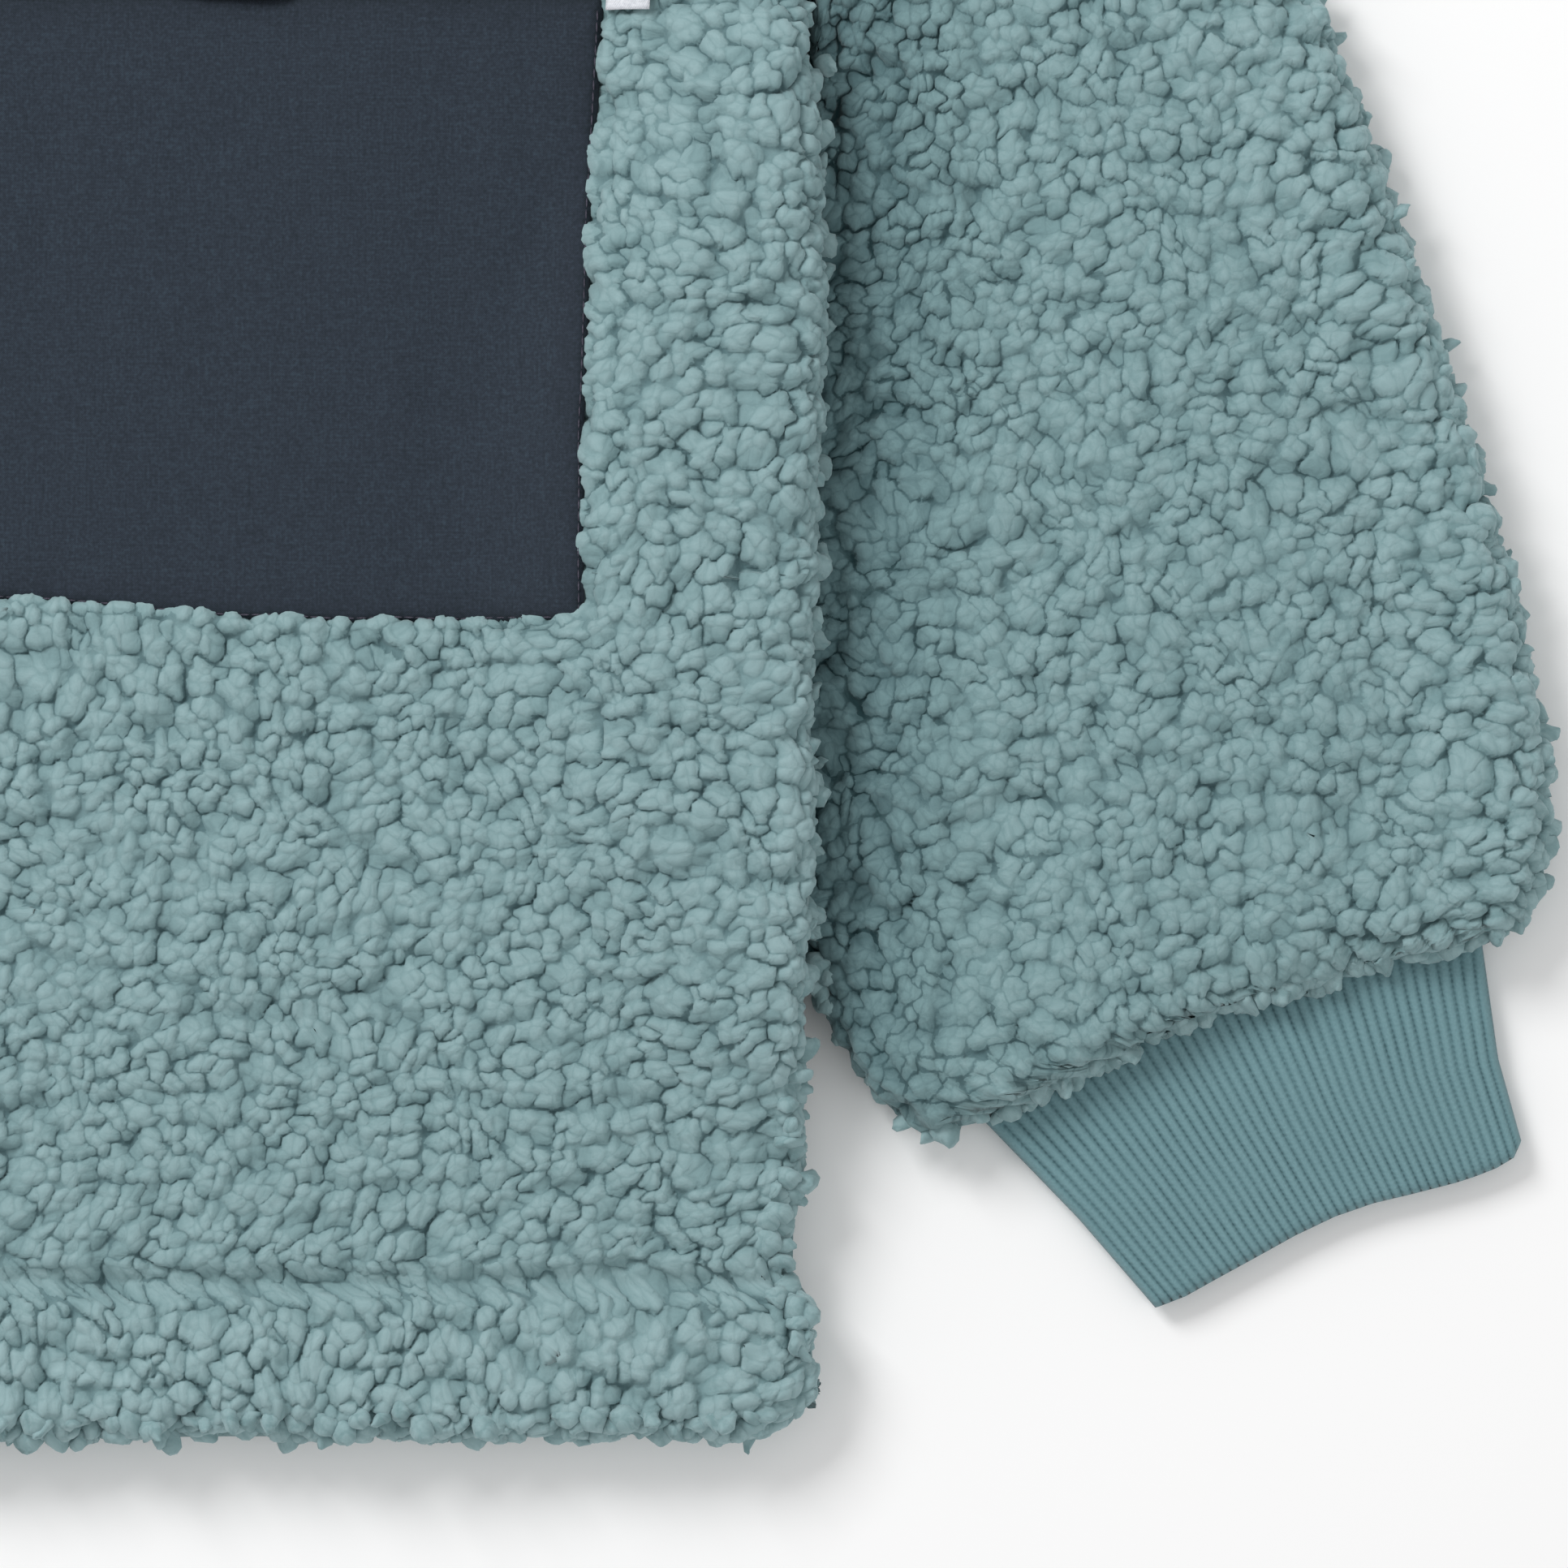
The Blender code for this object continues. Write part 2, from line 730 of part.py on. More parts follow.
def make_label(finish):
    """A small folded flag of woven tape, caught in the pocket's outer seam."""
    low = []
    high = []
    for up in (282.4, 303.0):
        under = []
        over = []
        for reach in (0.5, 4.0, 9.2):
            x = pocket_line(up) + reach
            height = mix(POCKET_BED, STRIP_PILE, min(reach, 4.0) / 4.0)
            z = lift(x, up) + PILE + LAYER + height + 0.35
            under.append((x, up, z))
            over.append((x, up, z + 0.8))
        low.append(under)
        high.append(over)
    return slab("label", low, high, finish)


# ---------------------------------------------------------------- zips
def block(x1, x2, y1, y2, z1, z2):
    """Corners and faces of one block."""
    points = [(x, y, z) for z in (z1, z2) for y in (y1, y2) for x in (x1, x2)]
    faces = [(0, 2, 3, 1), (4, 5, 7, 6), (0, 1, 5, 4), (2, 6, 7, 3), (0, 4, 6, 2), (1, 3, 7, 5)]
    return points, faces


def strip(name, x1, x2, y1, y2, z1, z2, finish):
    points, faces = block(x1, x2, y1, y2, z1, z2)
    return solid(name, points, faces, finish)


PIN_UP = 1.0            # pull's axis above the slider's plate
PLATE = 1.1
PULL_TILT = math.radians(4.0)


def zip_frame(centre, turn):
    """Turns a slider's own along, across and height into garment millimetres."""
    def put(along, across, height):
        x = centre[0] + along * math.cos(turn) - across * math.sin(turn)
        y = centre[1] + along * math.sin(turn) + across * math.cos(turn)
        return x, y, centre[2] + height
    return put


def extruded(name, profile, half, put, finish):
    """A profile of along and height points, given a width to both sides."""
    count = len(profile)
    points = [put(along, -half, height) for along, height in profile]
    points += [put(along, half, height) for along, height in profile]
    faces = [tuple(range(count)), tuple(range(2 * count - 1, count - 1, -1))]
    for here in range(count):
        after = (here + 1) % count
        faces.append((here, after, count + after, count + here))
    return solid(name, points, faces, finish)


def make_slider(name, centre, turn, half, drop, finish):
    """Channel over the teeth with an arch on top that holds the pull. centre is on the plate."""
    put = zip_frame(centre, turn)
    wide = half + 0.95
    section = [(-wide, -drop), (-half - 0.25, -drop), (-half - 0.25, 0.0), (half + 0.25, 0.0)]
    section += [(half + 0.25, -drop), (wide, -drop), (wide, PLATE - 0.3), (wide - 0.5, PLATE)]
    section += [(-wide + 0.5, PLATE), (-wide, PLATE - 0.3)]
    count = len(section)
    points = [put(-4.4, across, height) for across, height in section]
    points += [put(4.4, across, height) for across, height in section]
    faces = [tuple(range(count)), tuple(range(2 * count - 1, count - 1, -1))]
    for here in range(count):
        after = (here + 1) % count
        faces.append((here, after, count + after, count + here))
    body = solid(name, points, faces, finish)
    base = PLATE - 0.4
    arch = [(-3.0, base), (-3.0, PLATE + 1.6), (-1.7, PLATE + 2.8), (1.7, PLATE + 2.8)]
    arch += [(3.0, PLATE + 1.6), (3.0, base), (2.1, base), (2.1, PLATE + 1.2)]
    arch += [(1.2, PLATE + 2.0), (-1.2, PLATE + 2.0), (-2.1, PLATE + 1.2), (-2.1, base)]
    arch.reverse()
    bridge = extruded(name + "_arch", arch, 0.7, put, finish)
    joined = body.modifiers.new("arch", "BOOLEAN")
    joined.operation = "UNION"
    joined.solver = "EXACT"
    joined.object = bridge
    bridge.hide_render = True
    bridge.display_type = "WIRE"
    return body


def make_pull(name, centre, turn, length, half, finish):
    """Flat tab with a window: its cross bar turns under the slider's arch."""
    put = zip_frame(centre, turn)
    height = PLATE + PIN_UP
    outline = [(-0.42, -half), (length - 1.4, -half), (length, -half + 1.3)]
    outline += [(length, half - 1.3), (length - 1.4, half), (-0.42, half)]
    window = [(0.42, -1.45), (4.1, -1.45), (4.1, 1.45), (0.42, 1.45)]
    points = []
    for rise in (-0.4, 0.4):
        for along, across in outline + window:
            points.append((along, across, rise))
    tilted = []
    for along, across, rise in points:
        down = along * math.cos(PULL_TILT) + rise * math.sin(PULL_TILT)
        lifted = rise * math.cos(PULL_TILT) - along * math.sin(PULL_TILT)
        tilted.append(put(down, across, height + lifted))
    flat = [(0, 1, 7, 6), (1, 2, 7), (2, 3, 8, 7), (3, 4, 8), (4, 5, 9, 8), (5, 0, 6, 9)]
    faces = []
    for face in flat:
        faces.append(tuple(10 + corner for corner in face))
        faces.append(tuple(reversed(face)))
    for ring in ((0, 1, 2, 3, 4, 5), (6, 9, 8, 7)):
        for step, here in enumerate(ring):
            after = ring[(step + 1) % len(ring)]
            faces.append((here, after, 10 + after, 10 + here))
    return solid(name, tilted, faces, finish)


# ---------------------------------------------------------------- the jacket
def main():
    for thing in list(bpy.data.objects):
        bpy.data.objects.remove(thing, do_unlink=True)

    sherpa = material("sherpa", (0.188, 0.292, 0.305), 0.95)
    rib = material("rib_knit", (0.136, 0.242, 0.266), 0.9)
    poplin = material("pocket_cloth", (0.033, 0.044, 0.060), 0.75)
    tape = material("zip_tape", (0.030, 0.036, 0.046), 0.85)
    teeth = material("zip_teeth", (0.045, 0.052, 0.062), 0.45)
    metal = material("zip_metal", (0.20, 0.16, 0.12), 0.35, 1.0)
    white = material("label_tape", (0.85, 0.86, 0.88), 0.8)

    make_back(sherpa)
    make_front("front_left", "left", 1.0, True, sherpa)
    make_front("front_right", "right", -1.0, False, sherpa)
    make_sleeve("sleeve_left", 1.0, sherpa)
    make_sleeve("sleeve_right", -1.0, sherpa)
    make_cuff("cuff_left", 1.0, rib)
    make_cuff("cuff_right", -1.0, rib)
    make_collar(sherpa)

    columns = pocket_columns()
    ups = [up for up in CROSS_LINES["up"] if POCKET_FOOT <= up <= POCKET_MOUTH]
    patch("pocket", ups, columns, 0.3, POCKET_CLOTH, POCKET_PUFF, poplin)
    ups = [up for up in CROSS_LINES["up"] if POCKET_YOKE <= up <= POCKET_TOP]
    patch("pocket_yoke", ups, columns, 0.3, POCKET_CLOTH, 0.0, poplin)
    make_label(white)

    bed = PILE + LAYER + POCKET_BED
    mouth = 0.5 * (POCKET_MOUTH + POCKET_YOKE)
    strip("pocket_zip_tape", 29.0, 169.0, mouth - 2.9, mouth + 2.9, bed + 0.3, bed + 1.0, tape)
    strip("pocket_zip_teeth", 30.0, 168.0, mouth - 1.9, mouth + 1.9, bed + 1.3, bed + 2.7, teeth)
    seat = (93.0, mouth, bed + 3.0)
    make_slider("pocket_zip_slider", seat, 0.0, 1.9, 0.9, metal)
    make_pull("pocket_zip_pull", seat, math.radians(-5.0), 18.4, 2.5, metal)

    bed = PILE + LAYER
    for name, sign in (("zip_tape_left", 1.0), ("zip_tape_right", -1.0)):
        inner, outer = sorted((sign * 2.9, sign * (CENTRE - 0.3)))
        strip(name, inner, outer, 2.5, 497.0, bed + 0.2, bed + 1.1, tape)
    strip("zip_teeth", -2.6, 2.6, 4.0, 494.0, bed + 0.1, bed + 2.5, teeth)
    seat = (0.0, 487.0, bed + 2.8)
    make_slider("zip_slider", seat, math.radians(-90.0), 2.6, 1.3, metal)
    make_pull("zip_pull", seat, math.radians(-90.0), 22.0, 2.6, metal)


main()
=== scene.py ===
# %% [markdown]
# # A sherpa jacket laid flat
# The jacket lies on its back on a pale surface and is seen from straight above. The frame
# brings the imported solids: panels, sleeves, cuffs, collar, pocket, label and zips. This
# script gives each of them its cloth, pile, knit, weave or metal on the solid's own form.

# %% load the frame
import json
import math

import bpy
import mathutils.kdtree
import numpy as np
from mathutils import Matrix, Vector


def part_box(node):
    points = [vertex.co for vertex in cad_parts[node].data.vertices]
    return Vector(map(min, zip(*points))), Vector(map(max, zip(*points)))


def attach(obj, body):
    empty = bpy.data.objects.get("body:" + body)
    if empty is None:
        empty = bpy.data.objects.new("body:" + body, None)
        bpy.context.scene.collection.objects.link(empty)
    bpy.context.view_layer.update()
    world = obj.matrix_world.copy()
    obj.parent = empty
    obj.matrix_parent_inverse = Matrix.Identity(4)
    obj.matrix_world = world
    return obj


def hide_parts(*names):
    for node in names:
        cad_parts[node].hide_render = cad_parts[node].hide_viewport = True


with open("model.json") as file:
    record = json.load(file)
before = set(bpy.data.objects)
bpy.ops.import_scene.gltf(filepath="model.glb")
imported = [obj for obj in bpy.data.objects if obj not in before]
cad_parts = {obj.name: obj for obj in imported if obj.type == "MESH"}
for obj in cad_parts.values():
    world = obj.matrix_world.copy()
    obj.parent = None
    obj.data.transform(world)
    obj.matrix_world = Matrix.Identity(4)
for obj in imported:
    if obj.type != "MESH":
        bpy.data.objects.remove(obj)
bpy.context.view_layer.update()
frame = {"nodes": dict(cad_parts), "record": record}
MM = 0.001
MIDDLE = 274.6
SHIFT = np.array([0.0, MIDDLE, 0.0])


def in_metres(points):
    """Points of the frame from points in garment millimetres."""
    return (points - SHIFT) * MM


def in_garment(points):
    """Points in garment millimetres from points of the frame."""
    return np.asarray(points) / MM + SHIFT


# %% [markdown]
# The photograph is a close-up of one corner of the garment: the wearer's left front, the hem,
# the sleeve and its cuff. Its window is 309 mm wide, so a camera that looks straight down
# from two metres with a long lens has almost no perspective, as in a flat-lay picture.

# %% camera over the lower corner
PIXEL = 0.16
PIXELS = 1932
LEFT_PIXELS, HEM_PIXEL = 340, 1775
WINDOW = PIXELS * PIXEL * MM
WINDOW_X = (PIXELS // 2 + LEFT_PIXELS) * PIXEL * MM
WINDOW_Y = ((HEM_PIXEL - PIXELS // 2) * PIXEL - MIDDLE) * MM
CAMERA_UP, PILE_TOP, SENSOR = 2.0, 0.015, 36.0

lens = bpy.data.cameras.new("camera")
lens.sensor_width = SENSOR
lens.lens = SENSOR * (CAMERA_UP - PILE_TOP) / WINDOW
lens.clip_end = 20.0
camera = bpy.data.objects.new("camera", lens)
camera.location = (WINDOW_X, WINDOW_Y, CAMERA_UP)
bpy.context.collection.objects.link(camera)
bpy.context.scene.camera = camera
print("lens %.1f mm" % lens.lens)

# %% [markdown]
# A cut-out on white has even light with only soft shade in the folds. One broad lamp from the
# upper left gives the curls their small shadows, a weaker one fills from the right, and a
# bright world keeps the shade soft.

# %% floor, lamps and world
REACH, BELOW = 1.6, 0.0004
PAPER = (0.93, 0.93, 0.93, 1)
KEY_LAMP = ("key", (-0.85, 1.05, 1.35), 0.8, 27.0)
FILL_LAMP = ("fill", (1.7, -0.9, 1.6), 1.4, 6.0)
SKY_STRENGTH = 0.62

floor_shape = bpy.data.meshes.new("floor")
corners = [(-REACH, -REACH), (REACH, -REACH), (REACH, REACH), (-REACH, REACH)]
floor_shape.from_pydata([(x, y, -BELOW) for x, y in corners], [], [(0, 1, 2, 3)])
floor = bpy.data.objects.new("floor", floor_shape)
bpy.context.collection.objects.link(floor)
paper = bpy.data.materials.new("paper")
paper.use_nodes = True
paper_shader = paper.node_tree.nodes["Principled BSDF"]
paper_shader.inputs["Base Color"].default_value = PAPER
paper_shader.inputs["Roughness"].default_value = 1.0
paper_shader.inputs["Specular IOR Level"].default_value = 0.0
floor_shape.materials.append(paper)


def lamp(name, place, size, power):
    """A square lamp that looks at the middle of the photograph."""
    data = bpy.data.lights.new(name, "AREA")
    data.size = size
    data.energy = power
    made = bpy.data.objects.new(name, data)
    made.location = place
    aim = Vector((WINDOW_X, WINDOW_Y, 0.0)) - made.location
    made.rotation_euler = aim.to_track_quat("-Z", "Y").to_euler()
    bpy.context.collection.objects.link(made)


lamp(*KEY_LAMP)
lamp(*FILL_LAMP)
sky = bpy.data.worlds.new("sky")
sky.use_nodes = True
sky.node_tree.nodes["Background"].inputs["Color"].default_value = (1.0, 1.0, 1.0, 1.0)
sky.node_tree.nodes["Background"].inputs["Strength"].default_value = SKY_STRENGTH
bpy.context.scene.world = sky
bpy.context.scene.view_settings.view_transform = "Standard"
print("floor, two lamps and a sky of strength", SKY_STRENGTH)

# %% [markdown]
# ## The garment's own measures
# The cloth follows the solids, so the same few tables that shaped them are used again: how
# wide the body is at each height, where the pocket's edge runs, how far the sleeve reaches
# under the body, and the sleeve's sections. All are in millimetres above the hem and from
# the middle.

# %% measures of the body and the sleeve
PILE, LAYER, EDGE, ROLL, SEAM_ROLL = 8.0, 0.4, 1.2, 10.0, 7.0
HEM_PILE, STITCH_PILE, STRIP_PILE, POCKET_BED = 9.4, 5.0, 8.8, 4.4
CENTRE, NECK, NECK_UP, TIP, TIP_UP = 6.0, 75.0, 497.0, 190.0, 450.0
FRONT_DROP, BACK_DROP, UNDERARM, YOKE = 50.0, 13.0, 292.0, 330.0
SLEEVE_THICK, SLEEVE_PRESSED, SLEEVE_END, SLEEVE_ROLL = 16.8, 11.0, 9.8, 9.0
CUFF_THICK, CUFF_WALL, COLLAR_HEIGHT, COLLAR_HALF = 6.4, 2.6, 52.0, 8.2
POCKET_SIDE, POCKET_FOOT, POCKET_MOUTH, POCKET_YOKE, POCKET_TOP = 27.0, 161.6, 285.2, 291.6, 308.0
ON_FLOOR = 0.03


def table(columns, *rows):
    """A small table: each column name gives the array of its values."""
    return {name: np.array([row[at] for row in rows]) for at, name in enumerate(columns)}


SIDE = table(
    ("up", "across"),
    (0, 215), (27, 215), (31, 210.4), (35, 208.6), (45, 211.4), (54, 213.6), (70, 213),
    (95, 213.4), (120, 215.2), (156, 214.4), (188, 216), (220, 216.8), (252, 216),
    (268, 214.4), (284, 212.6), (292, 212), (310, 206), (345, 196), (385, 190.4),
    (420, 188.6), (450, 190),
)
POCKET_LINE = table(
    ("up", "across"),
    (0, 167), (120, 168), (161.6, 169.6), (204, 170), (236, 171), (264, 172.2),
    (284, 173.4), (308, 171.6), (330, 158), (385, 146), (450, 144),
)
TUCK = table(
    ("up", "across"),
    (96, 212), (111, 203), (128, 194), (146, 187), (165, 183.5), (184, 183.5),
    (203, 187.5), (222, 195), (240, 204.6), (258, 213), (264, 214.8),
)
SLEEVE = table(
    ("outer_x", "outer_y", "inner_x", "inner_y"),
    (190.6, 450.8, 212.8, 292), (222, 409, 213.5, 284), (248, 374, 214.9, 272.5),
    (271, 343, 213, 258), (294, 312, 204.6, 240), (314.7, 284, 195, 222),
    (324.6, 260, 187.5, 203), (332.4, 236, 183.5, 184), (341, 210, 183.5, 165),
    (348.4, 184, 187, 146), (355, 160, 194, 128), (360, 139, 203, 111),
    (360.8, 120, 212, 96), (359.6, 109.6, 217.8, 82), (355.6, 103, 226, 68),
    (350.4, 99.6, 238, 58.6), (347.2, 98.4, 248.8, 62.4),
)
CUFF = table(
    ("inner_x", "inner_y", "outer_x", "outer_y", "bow"),
    (249.3, 61.9, 347.4, 97.9, 5.2), (267.2, 43.4, 350.6, 75, 3.4), (282.6, 25.6, 355.4, 58.2, 1.8),
)
SLEEVE_FOLDS = table(
    ("x1", "y1", "x2", "y2", "half", "deep"),
    (327, 196, 330, 128, 9, 2.2), (246, 252, 262, 180, 12, 1.6), (236, 98, 262, 132, 10, 2.0),
    (296, 92, 292, 122, 9, 2.0), (322, 96, 318, 122, 8, 1.6), (276, 330, 236, 300, 12, 1.8),
)
FRONT_FOLDS = table(
    ("x1", "y1", "x2", "y2", "half", "deep"),
    (60, 112, 72, 60, 16, 1.0), (128, 128, 134, 54, 15, 1.2), (150, 392, 118, 338, 18, 1.4),
)


def side(up):
    """Half width of the body at a height."""
    return np.interp(up, SIDE["up"], SIDE["across"])


def pocket_line(up):
    """x of the pocket's outer edge, and of the seam that goes on above and below it."""
    return np.interp(up, POCKET_LINE["up"], POCKET_LINE["across"])


def mix(a, b, part):
    return a + (b - a) * part


def soft(part):
    """Smooth step from 0 to 1."""
    part = np.clip(part, 0.0, 1.0)
    return part * part * (3.0 - 2.0 * part)


def roundness(distance, radius):
    """Quarter circle: 0 at an edge, 1 once the radius is passed."""
    left = 1.0 - np.clip(distance, 0.0, radius) / radius
    return np.sqrt(np.clip(1.0 - left * left, 0.0, 1.0))


def under_body(x, y):
    """Distance to the strip where the sleeve lies under the body."""
    nearest = np.full(np.shape(x), 1e3)
    for up in np.arange(TUCK["up"][0], TUCK["up"][-1] + 0.1, 3.0):
        inner = np.interp(up, TUCK["up"], TUCK["across"])
        outer = max(side(up), inner)
        beside = np.maximum(np.maximum(inner - np.abs(x), np.abs(x) - outer), 0.0)
        nearest = np.minimum(nearest, np.hypot(beside, y - up))
    return nearest


def lift(x, y):
    """The body climbs over the sleeve that lies below it."""
    return (SLEEVE_PRESSED + LAYER) * soft(1.0 - (under_body(x, y) - 7.0) / 34.0)


def trough(folds, x, y):
    """Depth that the soft folds of a table take away."""
    depth = 0.0
    for x1, y1, x2, y2, half, deep in zip(*folds.values()):
        run = np.array([x2 - x1, y2 - y1])
        length = np.hypot(*run)
        along = ((x - x1) * run[0] + (y - y1) * run[1]) / length
        aside = ((x - x1) * run[1] - (y - y1) * run[0]) / length
        ends = np.maximum(np.maximum(-along, along - length), 0.0)
        depth = depth + deep * np.exp(-(aside**2 + ends**2) / half**2)
    return depth


def crown(x, drop):
    """Top line of a panel: neckline, then the shoulder down to its tip."""
    across = np.abs(x)
    neck = NECK_UP - drop * np.sqrt(np.clip(1.0 - (across / NECK) ** 2, 0.0, 1.0))
    shoulder = NECK_UP - (NECK_UP - TIP_UP) * (across - NECK) / (TIP - NECK)
    return np.where(across < NECK, neck, shoulder)


def hem_corner(x):
    """How far the hem's line rises at the body's rounded lower corners."""
    return 11.0 * (1.0 - roundness(side(0.0) - np.abs(x), 20.0))


def foot_rise(x, up):
    """Near the pocket's foot the lines across the panel climb towards the zip, as the foot does."""
    climb = 6.0 * soft((128.0 - np.abs(x)) / 110.0)
    near = np.where(up > POCKET_FOOT, 1.0 - (up - POCKET_FOOT) / 48.0, 1.0 - np.abs(up - 160.0) / 20.0)
    return climb * np.clip(near, 0.0, 1.0)


def panel_y(x, up, drop):
    """Where a line across the panel, named by its height, passes the distance x."""
    low = up + hem_corner(x) * np.clip(1.0 - up / 27.0, 0.0, 1.0) + foot_rise(x, up)
    high = YOKE + (up - YOKE) / (TIP_UP - YOKE) * (crown(x, drop) - YOKE)
    return np.where(up > YOKE, high, low)


def fullness(x, y, up, drop, centre_edge, turned=None):
    """Share of the full wall: it falls off towards each edge, and is negative where turned under."""
    to_side = side(up) - np.abs(x)
    seam = 0.72 + 0.28 * roundness(to_side, 6.0)
    share = mix(roundness(to_side, ROLL), seam, soft((up - 282.0) / 20.0))
    share = share * roundness(y - hem_corner(x) + 0.02, ROLL)
    share = share * (0.72 + 0.28 * roundness(crown(x, drop) - y, SEAM_ROLL))
    if centre_edge:
        share = share * (0.6 + 0.4 * roundness(np.abs(x) - CENTRE, SEAM_ROLL))
    return share if turned is None else np.where(turned, -share, share)


def into_pocket(x, up):
    """Distance inside the pocket's outline, negative outside it."""
    beside = np.minimum(x - POCKET_SIDE, pocket_line(up) - x)
    return np.minimum(beside, np.minimum(up - POCKET_FOOT, POCKET_TOP - up))


def front_heights(x, y, up, pocket, turned):
    """Underside and top of a front panel."""
    height = np.interp(up, (0, 27, 31, 35, 60), (HEM_PILE, 8.6, STITCH_PILE, 7.6, PILE))
    strip = soft((np.abs(x) - pocket_line(up)) / 4.0) * ((up > 60) & (up < UNDERARM))
    height = mix(height, STRIP_PILE, strip) - trough(FRONT_FOLDS, np.abs(x), y)
    if pocket:
        height = mix(height, POCKET_BED, soft((into_pocket(np.abs(x), up) + 0.4) / 2.2))
    ground = lift(x, y) + PILE + LAYER
    return ground, ground + EDGE + (height - EDGE) * fullness(x, y, up, FRONT_DROP, True, turned)


print("body %.0f mm wide at the hem, sleeve %d sections" % (2 * side(0.0), len(SLEEVE["outer_x"])))

# %% [markdown]
# ## Curls
# Sherpa pile is a field of small knotted curls. Each clump is a few millimetres wide, and is
# a handful of rounded knobs that touch, with narrow dark crevices between the clumps. Cells
# round scattered points give just that. Each knob is such a cell, and belongs to the clump
# whose middle is nearest to its own, so a clump's outline is as lumpy as a real one's. A
# Geometry Nodes tree measures the cells for the mesh. The pile's material repeats the same
# nodes on the same map, so the shade it paints into the crevices falls exactly between the
# modelled knobs.

# %% smooth noise
def scatter(cell_x, cell_y, seed):
    """Even random numbers from 0 to 1 for a lattice cell, the same at each run."""
    state = (cell_x.astype(np.int64) * 73856093) ^ (cell_y.astype(np.int64) * 19349663) ^ (seed * 83492791)
    state = (state * 1103515245 + 12345) & 0x7FFFFFFF
    state = state ^ (state >> 13)
    return (state % 100003) / 100003.0


def swell(p, seed):
    """Smooth noise from -1 to 1 with one lattice cell for each unit of p."""
    cell = np.floor(p)
    part = p - cell
    part = part * part * (3.0 - 2.0 * part)
    total = 0.0
    for step_x in (0, 1):
        for step_y in (0, 1):
            value = scatter(cell[..., 0] + step_x, cell[..., 1] + step_y, seed)
            weight = np.abs(1 - step_x - part[..., 0]) * np.abs(1 - step_y - part[..., 1])
            total = total + weight * value
    return total * 2.0 - 1.0


def swell_of(u, v, seed):
    """The same noise for two grids, or for one grid and a number."""
    return swell(np.stack(np.broadcast_arrays(u, v), axis=-1), seed)


print("smooth noise along a line:", np.round(swell_of(np.arange(0.0, 3.0, 0.5), 0.0, 3), 2))

# %% node helpers
def put(tree, socket, value):
    """Links another socket to a node's input, or sets it to a plain value."""
    if isinstance(value, bpy.types.NodeSocket):
        tree.links.new(value, socket)
    else:
        socket.default_value = value


def node(tree, kind, *given, **settings):
    """A new node: settings are its options or named inputs, and given fills its inputs in order."""
    made = tree.nodes.new(kind)
    for name, value in settings.items():
        if name in made.inputs:
            put(tree, made.inputs[name], value)
        else:
            setattr(made, name, value)
    for at, value in enumerate(given):
        put(tree, made.inputs[at], value)
    return made


def math_of(tree, operation, *values):
    return node(tree, "ShaderNodeMath", *values, operation=operation).outputs[0]


def weigh(tree, source, weight, rest):
    """source x weight + rest, where rest is a number or another socket."""
    return math_of(tree, "MULTIPLY_ADD", source, weight, rest)


def new_tree(name, **sizes):
    """Geometry Nodes tree with a mesh in, a mesh out and named sizes, and its inputs by name."""
    tree = bpy.data.node_groups.new(name, "GeometryNodeTree")
    tree.interface.new_socket("Geometry", in_out="INPUT", socket_type="NodeSocketGeometry")
    for title, value in sizes.items():
        kind = "NodeSocketInt" if isinstance(value, int) else "NodeSocketFloat"
        tree.interface.new_socket(title, in_out="INPUT", socket_type=kind).default_value = value
    tree.interface.new_socket("Geometry", in_out="OUTPUT", socket_type="NodeSocketGeometry")
    return tree, tree.nodes.new("NodeGroupInput").outputs


def end_tree(tree, geometry, finish=None):
    """Ends a tree with its material and its output."""
    if finish is not None:
        geometry = node(tree, "GeometryNodeSetMaterial", geometry, Material=finish).outputs[0]
    node(tree, "NodeGroupOutput", geometry)
    return tree


def keep_marks(tree, geometry, *marks):
    """Stores named values on a mesh: name, data type, domain and value of each."""
    for name, kind, domain, value in marks:
        geometry = node(tree, "GeometryNodeStoreNamedAttribute", data_type=kind, domain=domain,
                        Name=name, Geometry=geometry, Value=value).outputs[0]
    return geometry


def run_tree(tree, points, aims=None, **sizes):
    """Runs a tree on loose points with its inputs set by name, and gives the mesh it makes."""
    seeds = bpy.data.meshes.new("seeds")
    seeds.vertices.add(len(points))
    seeds.vertices.foreach_set("co", points.astype(np.float32).ravel())
    if aims is not None:
        aim = seeds.attributes.new("aim", "FLOAT_VECTOR", "POINT")
        aim.data.foreach_set("vector", aims.astype(np.float32).ravel())
    holder = bpy.data.objects.new("seeds", seeds)
    bpy.context.collection.objects.link(holder)
    modifier = holder.modifiers.new("tree", "NODES")
    modifier.node_group = tree
    for item in tree.interface.items_tree:
        if item.in_out == "INPUT" and item.name in sizes:
            modifier[item.identifier] = sizes[item.name]
    made = bpy.data.meshes.new_from_object(holder.evaluated_get(bpy.context.evaluated_depsgraph_get()))
    holder.modifiers.remove(modifier)
    bpy.data.objects.remove(holder)
    bpy.data.meshes.remove(seeds)
    return made


print("helpers for node trees ready")

# %% cells of knobs and clumps
KNOBS = 2.2
KNOB_ROUND = 0.64
CLUSTERS = 0.43
UNEVEN = 0.92


def cells(tree, feature, where, scale):
    """Voronoi cells on a flat map, in a tree for a mesh or for a material."""
    return node(tree, "ShaderNodeTexVoronoi", voronoi_dimensions="2D", feature=feature,
                Randomness=UNEVEN, Vector=where, Scale=scale).outputs


